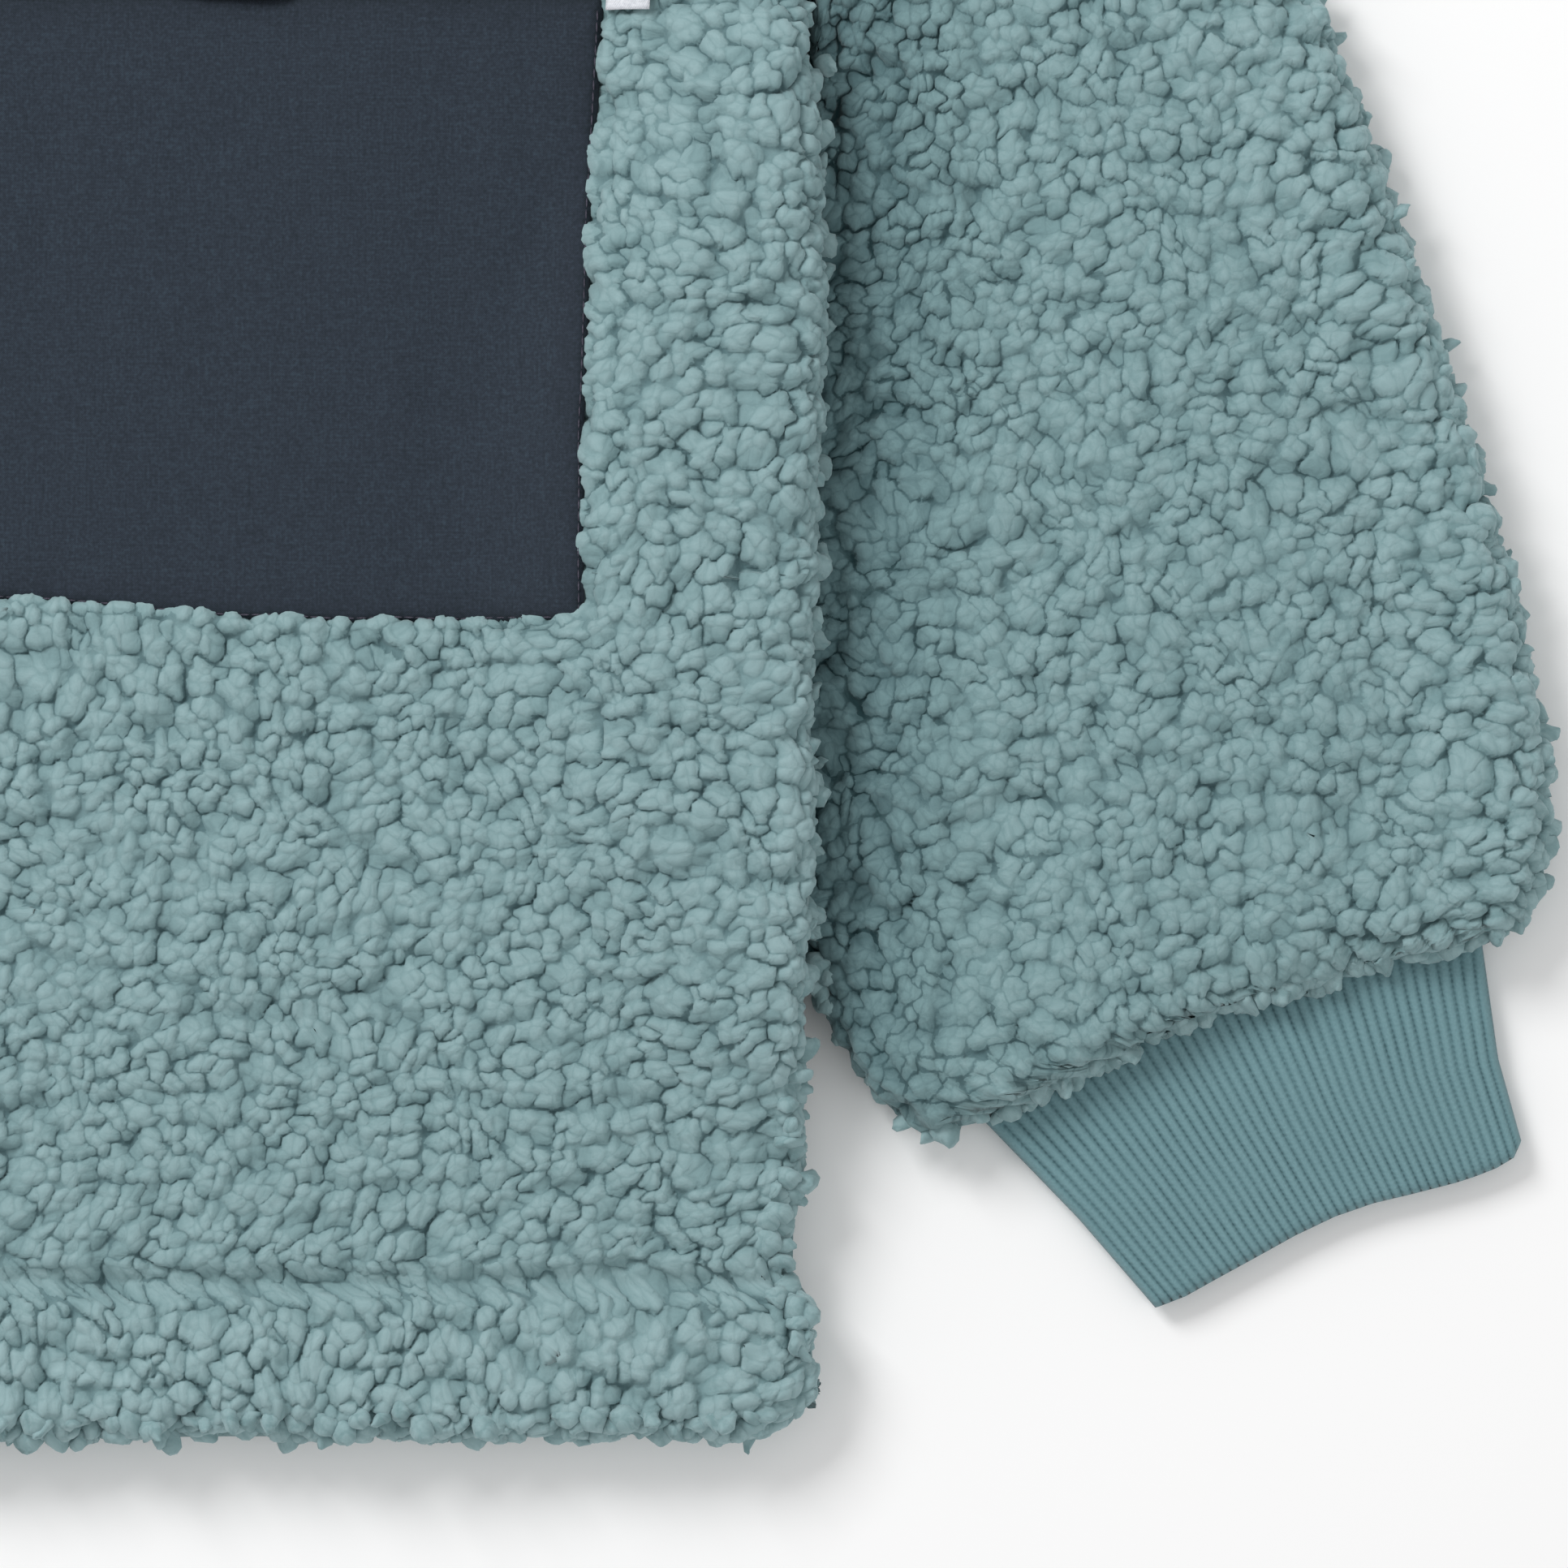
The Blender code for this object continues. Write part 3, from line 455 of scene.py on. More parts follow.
def curl_nodes(tree, where, knobs):
    """Knob and rim at a map point, and whether the rim parts two clumps."""
    knob = cells(tree, "F1", where, knobs)
    rim = cells(tree, "DISTANCE_TO_EDGE", where, knobs)["Distance"]
    beyond = cells(tree, "F2", where, knobs)
    clump = cells(tree, "F1", knob["Position"], 1.0)
    other = cells(tree, "F1", beyond["Position"], 1.0)
    between = node(tree, "ShaderNodeVectorMath", clump["Position"], other["Position"], operation="DISTANCE")
    apart = math_of(tree, "GREATER_THAN", between.outputs["Value"], 0.001)
    # corners of a cell are cut off, so that its knob is round
    corner = math_of(tree, "SUBTRACT", KNOB_ROUND, knob["Distance"])
    return knob, math_of(tree, "SMOOTH_MIN", rim, corner, 0.14), apart


def cell_tree():
    """Geometry Nodes tree that keeps what curl_nodes finds at each point of a map."""
    tree, entry = new_tree("curl_cells", Knobs=KNOBS, Clusters=CLUSTERS)
    where = node(tree, "GeometryNodeInputPosition").outputs[0]
    knob, rim, apart = curl_nodes(tree, where, entry["Knobs"])
    own = cells(tree, "F1", where, 1.0)["Distance"]
    cluster = cells(tree, "F1", where, entry["Clusters"])["Distance"]
    cleft = cells(tree, "DISTANCE_TO_EDGE", where, entry["Clusters"])["Distance"]
    found = {"rim": rim, "apart": apart, "own": own, "cluster": cluster, "cleft": cleft}
    marks = [(name, "FLOAT", "POINT", value) for name, value in found.items()]
    marks.append(("knob", "FLOAT_VECTOR", "POINT", knob["Position"]))
    end_tree(tree, keep_marks(tree, entry["Geometry"], *marks))
    return tree, [(mark[0], 3 if mark[1] == "FLOAT_VECTOR" else 1) for mark in marks]


CELLS, CELL_MARKS = cell_tree()
print("the curl tree keeps:", [name for name, width in CELL_MARKS])


def measure_cells(p):
    """What the tree finds at map points p, as arrays by name."""
    flat = p.reshape(-1, 2)
    measured = run_tree(CELLS, np.column_stack([flat, np.zeros(len(flat))]), Knobs=KNOBS, Clusters=CLUSTERS)
    found = {}
    for name, width in CELL_MARKS:
        values = np.zeros(len(flat) * width, dtype=np.float32)
        measured.attributes[name].data.foreach_get("vector" if width == 3 else "value", values)
        shape = p.shape[:-1] + ((width,) if width == 3 else ())
        found[name] = values.reshape(shape).astype(float)
    bpy.data.meshes.remove(measured)
    return found


# %% height of the curls
def bent_map(p, seed):
    """Map that is bent a little, so that no row of cells shows."""
    bend = np.stack([swell(p * 0.45, seed + 1), swell(p * 0.45, seed + 2)], axis=-1)
    fine = np.stack([swell(p * 2.2, seed + 3), swell(p * 2.2, seed + 4)], axis=-1)
    return p + 0.34 * bend + 0.13 * fine + seed * 1.37


def curl_field(q, seed):
    """At bent map points q: height of the pile, sideways push, open cracks, and painted light that is
    strongest on the tops of clumps.
    """
    found = measure_cells(q)
    rim, apart = np.clip(found["rim"], 0.0, 1.0), found["apart"]
    knob = roundness(rim, 0.42)
    clump = 1.0 - (np.clip(found["own"], 0.0, 1.0) / 0.78) ** 2
    cluster = 1.0 - (np.clip(found["cluster"], 0.0, 1.0) / 0.78) ** 2
    opened = np.clip(0.56 + 0.62 * swell(q * 1.1, seed + 8), 0.0, 1.0)
    crack = np.exp(-((rim / 0.18) ** 2)) * apart * (0.2 + 0.8 * opened)
    cleft = np.exp(-((found["cleft"] / 0.07) ** 2)) * np.clip(0.45 + swell(q * 0.6, seed + 9), 0.0, 1.0)
    level = 0.44 * (clump - 0.62) + 0.11 * (knob - 0.86) + 0.28 * (cluster - 0.6)
    level = level - 0.27 * crack - 0.15 * cleft
    away = q - found["knob"][..., :2]
    push = away * (0.34 * np.clip(rim / 0.24, 0.0, 1.0))[..., None]
    # the last value is painted light: the middle of each clump is made lighter in colour
    return level, push, opened, soft((0.72 - found["own"]) / 0.42)


sample = np.stack(np.meshgrid(np.linspace(0, 40, 400), np.linspace(0, 40, 400)), axis=-1)
level = curl_field(bent_map(sample, 3), 3)[0]
print("pile level mean %.3f spread %.3f, top %.2f" % (level.mean(), level.std(), np.percentile(level, 98)))

# %% [markdown]
# ## From a form to a mesh
# Each panel is a closed thin shell. The side that shows is a dense grid that carries the
# curls. The hidden side is a coarse grid, and a strip of triangles joins the two rims.

# %% grids and strips
def grid_faces(rows, columns, start=0):
    index = start + np.arange(rows * columns).reshape(rows, columns)
    quads = np.stack([index[:-1, :-1], index[:-1, 1:], index[1:, 1:], index[1:, :-1]], axis=-1)
    return quads.reshape(-1, 4).tolist()


def ring_faces(rows, columns):
    """Faces of a grid whose columns close to a ring."""
    index = np.arange(rows * columns).reshape(rows, columns)
    after = np.roll(index, -1, axis=1)
    quads = np.stack([index[:-1], after[:-1], after[1:], index[1:]], axis=-1)
    return quads.reshape(-1, 4).tolist()


def flipped(faces):
    """The same faces seen from their other side."""
    return [face[::-1] for face in faces]


def sides_of(rows, columns, start=0):
    """The four sides of a grid, one after the other round it."""
    index = start + np.arange(rows * columns).reshape(rows, columns)
    return [side.tolist() for side in (index[0, :], index[:, -1], index[-1, ::-1], index[::-1, 0])]


def run_of(line):
    """Length along a line of points up to each of them."""
    return np.concatenate([[0.0], np.cumsum(np.linalg.norm(np.diff(line, axis=0), axis=1))])


def zipper(points, chain_a, chain_b, straight=False):
    """Triangles between two chains of points that run the same way."""
    def shares(chain):
        line = points[chain]
        if straight:
            run = np.maximum.accumulate((line - line[0]) @ (line[-1] - line[0]))
        else:
            run = run_of(line)
        return run / run[-1]

    share_a, share_b = shares(chain_a), shares(chain_b)
    a = b = 0
    faces = []
    while a < len(chain_a) - 1 or b < len(chain_b) - 1:
        take_a = b == len(chain_b) - 1 or (a < len(chain_a) - 1 and share_a[a + 1] <= share_b[b + 1])
        if take_a:
            faces.append((chain_a[a], chain_b[b], chain_a[a + 1]))
            a += 1
        else:
            faces.append((chain_a[a], chain_b[b], chain_b[b + 1]))
            b += 1
    return faces


def closed_shell(top, low, straight=True):
    """Points and faces of a dense grid, a coarse one behind it and the strip round them."""
    grid, low_grid = top.shape[:2], low.shape[:2]
    points = np.concatenate([top.reshape(-1, 3), low.reshape(-1, 3)])
    start = grid[0] * grid[1]
    faces = grid_faces(*grid) + flipped(grid_faces(*low_grid, start))
    for dense, coarse in zip(sides_of(*grid), sides_of(*low_grid, start)):
        faces += zipper(points, dense, coarse, straight=straight)
    return points, faces


def grid_normals(points):
    """Unit normals of a grid of points."""
    normal = np.cross(np.gradient(points, axis=1), np.gradient(points, axis=0))
    return normal / np.maximum(np.linalg.norm(normal, axis=-1, keepdims=True), 1e-9)


def smooth_grid(values, times):
    """Averages each grid point with its neighbours; the rim stays."""
    values = values.copy()
    for turn in range(times):
        around = values[:-2, 1:-1] + values[2:, 1:-1] + values[1:-1, :-2] + values[1:-1, 2:]
        values[1:-1, 1:-1] = 0.5 * values[1:-1, 1:-1] + 0.125 * around
    return values


print("faces of a grid of 3 by 3 points:", grid_faces(3, 3))


# %% pieces
def mirrored(points):
    return points * np.array([-1.0, 1.0, 1.0])


def surface_of(points, faces):
    """Surface in square millimetres."""
    total = 0.0
    for size in (3, 4):
        some = np.array([face for face in faces if len(face) == size])
        if len(some):
            a, b, c = points[some[:, 0]], points[some[:, 1]], points[some[:, 2]]
            total += 0.5 * np.linalg.norm(np.cross(b - a, c - a), axis=1).sum()
            if size == 4:
                d = points[some[:, 3]]
                total += 0.5 * np.linalg.norm(np.cross(c - a, d - a), axis=1).sum()
    return total


def add_piece(name, mesh, body, replaced):
    """Puts a mesh in the scene, with its body and the nodes that it stands for."""
    made = bpy.data.objects.new(name, mesh)
    bpy.context.collection.objects.link(made)
    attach(made, body)
    if replaced:
        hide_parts(*replaced)
    return made


def keep_values(attribute, values, field="value"):
    attribute.data.foreach_set(field, values.astype(np.float32).ravel())


def mesh_object(name, points, faces, finish, body="jacket", replaced=(),
                marks=None, spots=None, crisp=None):
    """Mesh from garment millimetres, with its point marks, its map and the edges that stay crisp."""
    mesh = bpy.data.meshes.new(name)
    sizes = np.array([len(face) for face in faces], dtype=np.int32)
    corners = np.fromiter((corner for face in faces for corner in face), dtype=np.int32)
    mesh.vertices.add(len(points))
    mesh.vertices.foreach_set("co", in_metres(points).astype(np.float32).ravel())
    mesh.loops.add(len(corners))
    mesh.loops.foreach_set("vertex_index", corners)
    mesh.polygons.add(len(faces))
    starts = np.concatenate([[0], np.cumsum(sizes)[:-1]]).astype(np.int32)
    mesh.polygons.foreach_set("loop_start", starts)
    mesh.polygons.foreach_set("use_smooth", np.ones(len(faces), dtype=bool))
    mesh.update(calc_edges=True)
    if spots is not None:
        keep_values(mesh.uv_layers.new(name="cloth"), spots[corners], "uv")
    for mark, values in (marks or {}).items():
        keep_values(mesh.attributes.new(mark, "FLOAT", "POINT"), values)
    if crisp is not None:
        on_line = np.zeros(len(points), dtype=bool)
        on_line[crisp] = True
        ends = np.zeros(len(mesh.edges) * 2, dtype=np.int32)
        mesh.edges.foreach_get("vertices", ends)
        sharp = mesh.attributes.new("sharp_edge", "BOOLEAN", "EDGE")
        sharp.data.foreach_set("value", on_line[ends.reshape(-1, 2)].all(axis=1))
    mesh.materials.append(finish)
    print("%-22s %7d triangles %9.0f mm2" % (name, int((sizes - 2).sum()), surface_of(points, faces)))
    return add_piece(name, mesh, body, replaced)


def pile_piece(name, points, faces, cloth, finish, sign, replaced, crisp=None):
    """Piece of sherpa; for the wearer's right its points are mirrored, and so its faces are turned."""
    if sign < 0:
        faces = flipped(faces)
    # the second point mark is painted light and shade for the material's colour
    return mesh_object(name, points, faces, finish, replaced=replaced, crisp=crisp,
                       marks={"opened": cloth[:, 2], "painted_light_and_shade": cloth[:, 3]}, spots=cloth[:, :2])


def shell(name, top, cloth, bottom, sign, finish, replaced, cut=None, straight=True):
    """Closed shell from a dense grid and a coarse one whose rims start at the same corner."""
    if sign < 0:
        top, bottom = mirrored(top), mirrored(bottom)
    rows, columns = top.shape[:2]
    points, faces = closed_shell(top, bottom, straight)
    low = bottom.reshape(-1, 3)
    plain = np.column_stack([low[:, :2] / 6.0, np.ones(len(low)), np.ones(len(low))])
    cloth = np.concatenate([cloth.reshape(-1, 4), plain])
    cut_row = {"first": 0, "last": rows - 1}.get(cut)
    seam = None if cut_row is None else cut_row * columns + np.arange(columns)
    return pile_piece(name, points, faces, cloth, finish, sign, replaced, seam)


print("helpers for pieces ready")


# %% curls on a grid
def edge_steps(radius, step):
    """Distances from an edge that follow its quarter round in even steps."""
    turns = np.linspace(0.0, math.pi / 2, max(4, int(round(radius * 1.57 / step))) + 1)
    return radius * (1.0 - np.cos(turns))


def arc_of(distance, radius):
    """Length along a rounded edge for a distance in from it."""
    near = radius * np.arccos(np.clip(1.0 - distance / radius, -1.0, 1.0))
    return np.where(distance < radius, near, distance + radius * (math.pi / 2 - 1.0))


def in_curls(distance, stops, sizes):
    """A length counted in curls, where the curl's size changes with the length."""
    fine = np.linspace(0.0, max(float(np.max(distance)), 1.0), 1500)
    run = np.concatenate([[0.0], np.cumsum(np.diff(fine) / np.interp(fine[1:], stops, sizes))])
    return np.interp(distance, fine, run)


def along_surface(form, map_points, push):
    """Moves on the surface that match a push on its map."""
    columns, rows = np.gradient(form, axis=1), np.gradient(form, axis=0)
    map_columns, map_rows = np.gradient(map_points, axis=1), np.gradient(map_points, axis=0)
    span = map_columns[..., 0] * map_rows[..., 1] - map_columns[..., 1] * map_rows[..., 0]
    span = np.where(np.abs(span) < 1e-5, np.inf, span)
    by_column = (push[..., 0] * map_rows[..., 1] - push[..., 1] * map_rows[..., 0]) / span
    by_row = (push[..., 1] * map_columns[..., 0] - push[..., 0] * map_columns[..., 1]) / span
    by_column, by_row = np.clip(by_column, -2.5, 2.5), np.clip(by_row, -2.5, 2.5)
    return columns * by_column[..., None] + rows * by_row[..., None]


def add_curls(form, map_points, depth, seed, top=0.0):
    """Raises curls of the given depth on a grid. The material gets the map, open cracks and the painted light
    on the clumps' tops.
    """
    smooth = smooth_grid(form, 4)
    bent = bent_map(map_points, seed)
    level, push, opened, ball = curl_field(bent, seed)
    rise = (level - top + 0.05 * swell(map_points * 0.21, seed + 9)) * depth
    moved = form + grid_normals(smooth) * rise[..., None] + along_surface(smooth, bent, push)
    return moved, np.concatenate([bent, opened[..., None], ball[..., None]], axis=-1)


def above_floor(points):
    """Nothing of a pile reaches below the table."""
    points[..., 2] = np.maximum(points[..., 2], ON_FLOOR)


print("steps round an edge of %.0f mm:" % ROLL, np.round(edge_steps(ROLL, 3.0), 1))

# %% [markdown]
# ## Finishes
# The pile's colour carries painted light and shade for each curl: tips are painted light,
# crevices painted deep teal shade. The fibres are too fine for a mesh, so noise and small cells
# in the bump stand for them, and sheen gives the soft edge of wool.

# %% helpers for shaders
TURN = 6.2832


def srgb(red, green, blue):
    """A colour read from 0 to 255 as the shader's linear numbers."""
    return tuple(((value / 255 + 0.055) / 1.055) ** 2.4 if value > 10 else value / 3295
                 for value in (red, green, blue))


def shader_of(name, roughness, specular=0.5, metallic=0.0, sheen=0.0, sheen_roughness=0.5):
    """A new material, its tree and its shader."""
    made = bpy.data.materials.new(name)
    made.use_nodes = True
    shader = made.node_tree.nodes["Principled BSDF"]
    for title, value in (("Roughness", roughness), ("Specular IOR Level", specular), ("Metallic", metallic),
                         ("Sheen Weight", sheen), ("Sheen Roughness", sheen_roughness)):
        shader.inputs[title].default_value = value
    return made, made.node_tree, shader


def coloured(tree, shader, shade, *stops):
    """Base colour that follows a shade through some stops."""
    made = tree.nodes.new("ShaderNodeValToRGB")
    band = made.color_ramp
    while len(band.elements) < len(stops):
        band.elements.new(0.5)
    for element, (at, colour) in zip(band.elements, stops):
        element.position = at
        element.color = (*colour, 1.0)
    put(tree, made.inputs["Fac"], shade)
    put(tree, shader.inputs["Base Color"], made.outputs["Color"])


def bumps(tree, shader, *layers):
    """Bump nodes in a row: height socket, strength and distance in metres for each."""
    before = None
    for height, strength, distance in layers:
        bump = node(tree, "ShaderNodeBump", Strength=strength, Distance=distance, Height=height)
        if before is not None:
            put(tree, bump.inputs["Normal"], before)
        before = bump.outputs["Normal"]
    put(tree, shader.inputs["Normal"], before)


def noise_of(tree, where, scale, detail, roughness=0.5):
    return node(tree, "ShaderNodeTexNoise", Scale=scale, Detail=detail, Roughness=roughness,
                Vector=where).outputs


def mark_of(tree, name):
    return node(tree, "ShaderNodeAttribute", attribute_name=name).outputs["Fac"]


def object_place(tree):
    """Position on the object, whole and in its parts."""
    place = node(tree, "ShaderNodeTexCoord").outputs["Object"]
    return place, node(tree, "ShaderNodeSeparateXYZ", place).outputs


def tuned(tree, source, low, high, to_low, to_high, kind="SMOOTHSTEP"):
    """Maps a socket's values from one range to another."""
    return node(tree, "ShaderNodeMapRange", source, low, high, to_low, to_high,
                interpolation_type=kind).outputs[0]


def shade_of(tree, rest, *parts):
    """Sum of a number and of sockets, each with its weight."""
    for source, weight in parts:
        rest = weigh(tree, source, weight, rest)
    return rest


print("a mid grey for the shader: %.3f %.3f %.3f" % srgb(128, 128, 128))


# %% pile finish
def pile_finish(name, dark, low, middle, light):
    made, tree, shader = shader_of(name, 1.0, 0.08, sheen=0.26, sheen_roughness=0.6)
    shader.inputs["Sheen Tint"].default_value = (0.78, 0.93, 0.95, 1.0)
    spots = node(tree, "ShaderNodeUVMap", uv_map="cloth").outputs["UV"]
    wool = node(tree, "ShaderNodeTexNoise", noise_dimensions="2D",
                Scale=5.5, Detail=4.0, Roughness=0.68, Vector=spots).outputs
    # the map is frayed by the wool, so that a crevice's edge is never a clean line
    frayed = node(tree, "ShaderNodeVectorMath", wool["Color"], (0.16, 0.16, 0.0), spots,
                  operation="MULTIPLY_ADD")
    centred = node(tree, "ShaderNodeVectorMath", frayed.outputs[0], (0.08, 0.08, 0.0), operation="SUBTRACT")
    knob, rim, apart = curl_nodes(tree, centred.outputs[0], KNOBS)
    # painted shade: the base colour darkens in the crevices at each knob's rim, most where two clumps part,
    # and towards each knob's edge; the piece's second point mark adds its painted light and shade
    crease = tuned(tree, rim, 0.0, 0.20, 1.0, 0.0)
    crack = math_of(tree, "MULTIPLY", crease, apart)
    opened = math_of(tree, "MULTIPLY", crack, tuned(tree, mark_of(tree, "opened"), 0.0, 1.0, 0.2, 1.0))
    shade = shade_of(tree, 0.47, (opened, -0.24), (mark_of(tree, "painted_light_and_shade"), 0.16), (crease, -0.05),
                     (knob["Distance"], -0.10), (wool["Fac"], 0.24))
    coloured(tree, shader, shade, (0.0, dark), (0.30, low), (0.62, middle), (0.95, light))
    fluff = weigh(tree, wool["Fac"], 0.5, weigh(tree, knob["Distance"], -0.5, 0.0))
    bumps(tree, shader, (fluff, 0.45, 0.0008))
    return made


pile_body = pile_finish("pile_body", srgb(36, 62, 66), srgb(89, 116, 120),
                        srgb(124, 152, 155), srgb(156, 181, 184))
# the sleeve's copy of the pile is painted a little darker all over: painted shade
pile_sleeve = pile_finish("pile_sleeve", srgb(34, 60, 64), srgb(83, 110, 114),
                          srgb(119, 148, 151), srgb(152, 178, 181))
print("pile finishes ready")

# %% [markdown]
# ## Fronts
# A front panel is a slab of pile cloth. Near the side and the hem it rolls over like a
# pillow's edge, along the zip it is only a little rounded, and the pocket presses it flat.
# The photographed stretch has a fine grid and the rest a coarser one, so the left front is
# built in two stretches that meet just below the pocket's middle.

# %% form of a front
FINE, COARSER, PLAIN = 0.66, 1.7, 1.9
SPLIT, SPARE = 170.0, 8
HIDDEN_TO, STRIP_LESS = 54.0, 4.0
LIP = 0.62
SHOULDER_UP = TIP_UP - SEAM_ROLL
# painted light: how much lighter the colour is made on the hem's roll, the low side and the sleeve's outer
# fold
ROLL_PAINTED_LIGHT, FOLD_PAINTED_LIGHT = 0.43, 0.38
# the size of a curl by the distance from the side and from the hem, and its depth from the hem
SIDE_CURLS = ((0, 22, 40, 62), (8.0, 7.2, 6.4, 5.8))
HEM_CURLS = ((0, 38, 50, 158, 183, 308, 338), (7.8, 7.8, 5.7, 5.7, 6.0, 6.0, 5.6))
HEM_DEPTHS = ((0, 10, 30, 36, 42, 60), (4.6, 5.0, 4.2, 2.8, 3.3, 3.5))
MAP_START = 8.0


def lip_steps(step):
    """Distances from an edge where the cloth turns on below it."""
    return ROLL * (1.0 - np.cos(np.linspace(0.0, LIP, max(2, int(LIP * 8.0 / step)) + 1)[1:]))


def front_columns(up, hidden_step, seen_step, side_step):
    """x of the grid's columns at a height, from the zip to the side."""
    edge = float(side(up))
    strip_start = float(pocket_line(up)) - STRIP_LESS
    zip_part = CENTRE + edge_steps(SEAM_ROLL, max(hidden_step, 1.1))
    hidden = np.linspace(zip_part[-1], HIDDEN_TO, int(41.0 / hidden_step) + 1)[1:]
    seen = np.linspace(HIDDEN_TO, strip_start, int(112.0 / seen_step) + 1)[1:]
    strip = np.linspace(strip_start, edge - ROLL, int(36.0 / side_step) + 1)[1:]
    rolled = edge - edge_steps(ROLL, side_step)[::-1][1:]
    return np.concatenate([zip_part, hidden, seen, strip, rolled, edge - lip_steps(side_step)])


def front_top(ups, steps, pocket, low_lip):
    """Form of a front: lips below the side and, where low_lip is set, below the hem."""
    x = np.stack([front_columns(value, *steps) for value in ups])
    up = np.repeat(ups[:, None], x.shape[1], axis=1)
    turned = np.zeros(up.shape, dtype=bool)
    turned[:, -len(lip_steps(steps[-1])):] = True
    if low_lip:
        turned[:low_lip] = True
    y = panel_y(x, up, FRONT_DROP)
    ground, z = front_heights(x, y, up, pocket, turned)
    return x, up, smooth_grid(np.stack([x, y, z], axis=-1), 6), ground, turned


def front_map(x, up, side_step, low_lip):
    """Curl map of a front: counted from the side and from the hem."""
    from_side = arc_of(side(up) - x, ROLL)
    from_hem = arc_of(up, ROLL)
    from_side[:, -len(lip_steps(side_step)):] *= -1.0
    if low_lip:
        from_hem[:low_lip] *= -1.0
    u = in_curls(from_side + MAP_START, *SIDE_CURLS)
    v = in_curls(from_hem + MAP_START, *HEM_CURLS)
    return np.stack([u, v], axis=-1), from_side, from_hem


def low_grid(rows, xs, drop, hem_in, top_out=0.0):
    """Coarse hidden side of a panel: its places, drawn in a little at the hem and the shoulder."""
    x = np.stack(xs)
    up = np.repeat(rows[:, None], x.shape[1], axis=1)
    y = panel_y(x, up, drop) + (rows[:, None] < 1.0) * hem_in - (rows[:, None] > TIP_UP - 1.0) * top_out
    return x, y


print("a lip turns on below an edge by %.1f mm" % lip_steps(FINE)[-1])


# %% front panels
LOW_SHARES = np.array([0.0, 0.25, 0.5, 0.68, 0.78, 0.85, 0.92, 1.0])
DRAWN_IN = 4.5


def make_front(name, sign, pocket, ups, steps, low_lip, seed, replaced=(), spare=(0, 0), cut=None):
    """One stretch of a front; the spare rows at its ends only keep its two stretches alike."""
    x, up, form, ground, turned = front_top(ups, steps, pocket, low_lip)
    curls, from_side, from_hem = front_map(x, up, steps[-1], low_lip)
    depth = np.interp(from_hem, *HEM_DEPTHS)
    depth = depth + 0.4 * soft((x - pocket_line(up)) / 14.0) + 0.6 * soft((18.0 - from_side) / 16.0)
    if pocket:
        depth = depth * (1.0 - 0.85 * soft((into_pocket(x, up) - 1.5) / 2.5))
    moved, cloth = add_curls(form, curls, depth, seed)
    # painted light: the hem's roll and the low side are made a little lighter in colour
    low_side = soft((18.0 - from_side) / 8.0) * soft((165.0 - up) / 30.0)
    cloth[..., 3] += ROLL_PAINTED_LIGHT * np.maximum(soft((33.0 - from_hem) / 8.0), low_side)
    moved[..., 2] = np.maximum(moved[..., 2], np.where(turned, ground - 5.0, ground + 0.2))
    kept = slice(spare[0], len(ups) - spare[1])
    moved, cloth, ups = moved[kept], cloth[kept], ups[kept]
    bottom_up = 0.0 if low_lip else ups[0] + 2.5
    top_up = ups[-1] - (2.5 if cut == "last" else 0.0)
    rows = np.linspace(bottom_up, top_up, max(4, int((top_up - bottom_up) / 20)))
    low_rows = [mix(CENTRE + 0.8, float(side(value)) - DRAWN_IN, LOW_SHARES) for value in rows]
    low_x, low_y = low_grid(rows, low_rows, FRONT_DROP, DRAWN_IN)
    low_z = lift(low_x, low_y) + PILE + LAYER + 0.05
    return shell(name, moved, cloth, np.stack([low_x, low_y, low_z], axis=-1), sign, pile_body, replaced, cut)


def spaced(start, end, step):
    return np.linspace(start, end, int(round((end - start) / step)) + 1)


shoulder_rows = SHOULDER_UP + SEAM_ROLL - edge_steps(SEAM_ROLL, PLAIN)[::-1]
fine_lip, plain_lip = lip_steps(FINE)[::-1], lip_steps(PLAIN)[::-1]
left_rows = np.concatenate([
    fine_lip, edge_steps(ROLL, FINE), spaced(ROLL, UNDERARM, FINE)[1:],
    spaced(UNDERARM, SHOULDER_UP, COARSER)[1:], shoulder_rows[1:],
])
plain_rows = np.concatenate([
    plain_lip, edge_steps(ROLL, PLAIN), spaced(ROLL, SHOULDER_UP, PLAIN)[1:], shoulder_rows[1:],
])
cut = len(fine_lip) + int(np.searchsorted(left_rows[len(fine_lip):], SPLIT))
front_low = make_front("front_left_lower", 1.0, True, left_rows[: cut + 1 + SPARE], (1.5, FINE, FINE),
                       low_lip=len(fine_lip), seed=11, replaced=("front_left",), spare=(0, SPARE), cut="last")
front_high = make_front("front_left_upper", 1.0, True, left_rows[cut - SPARE:], (2.4, 2.4, FINE),
                        low_lip=0, seed=11, spare=(SPARE, 0), cut="first")
front_other = make_front("front_right_pile", -1.0, False, plain_rows, (PLAIN, PLAIN, PLAIN),
                         low_lip=len(plain_lip), seed=47, replaced=("front_right",))

# %% [markdown]
# ## Back
# The back lies on the table, so its pile is pressed flat: curls end at the table's level and
# only the crevices reach up into the pile. Its dense side is the one below.

# %% back panel
BACK_STEP = 2.6
BACK_CURL, BACK_DEPTH, PRESSED_TOP = 5.2, ((0, 12), (3.0, 2.4)), 0.16


def back_columns(up):
    edge = float(side(up))
    rolled = edge_steps(ROLL, BACK_STEP)
    middle = np.linspace(-(edge - ROLL), edge - ROLL, int(405.0 / BACK_STEP) + 1)
    return np.concatenate([-edge + rolled, middle[1:-1], edge - rolled[::-1]])


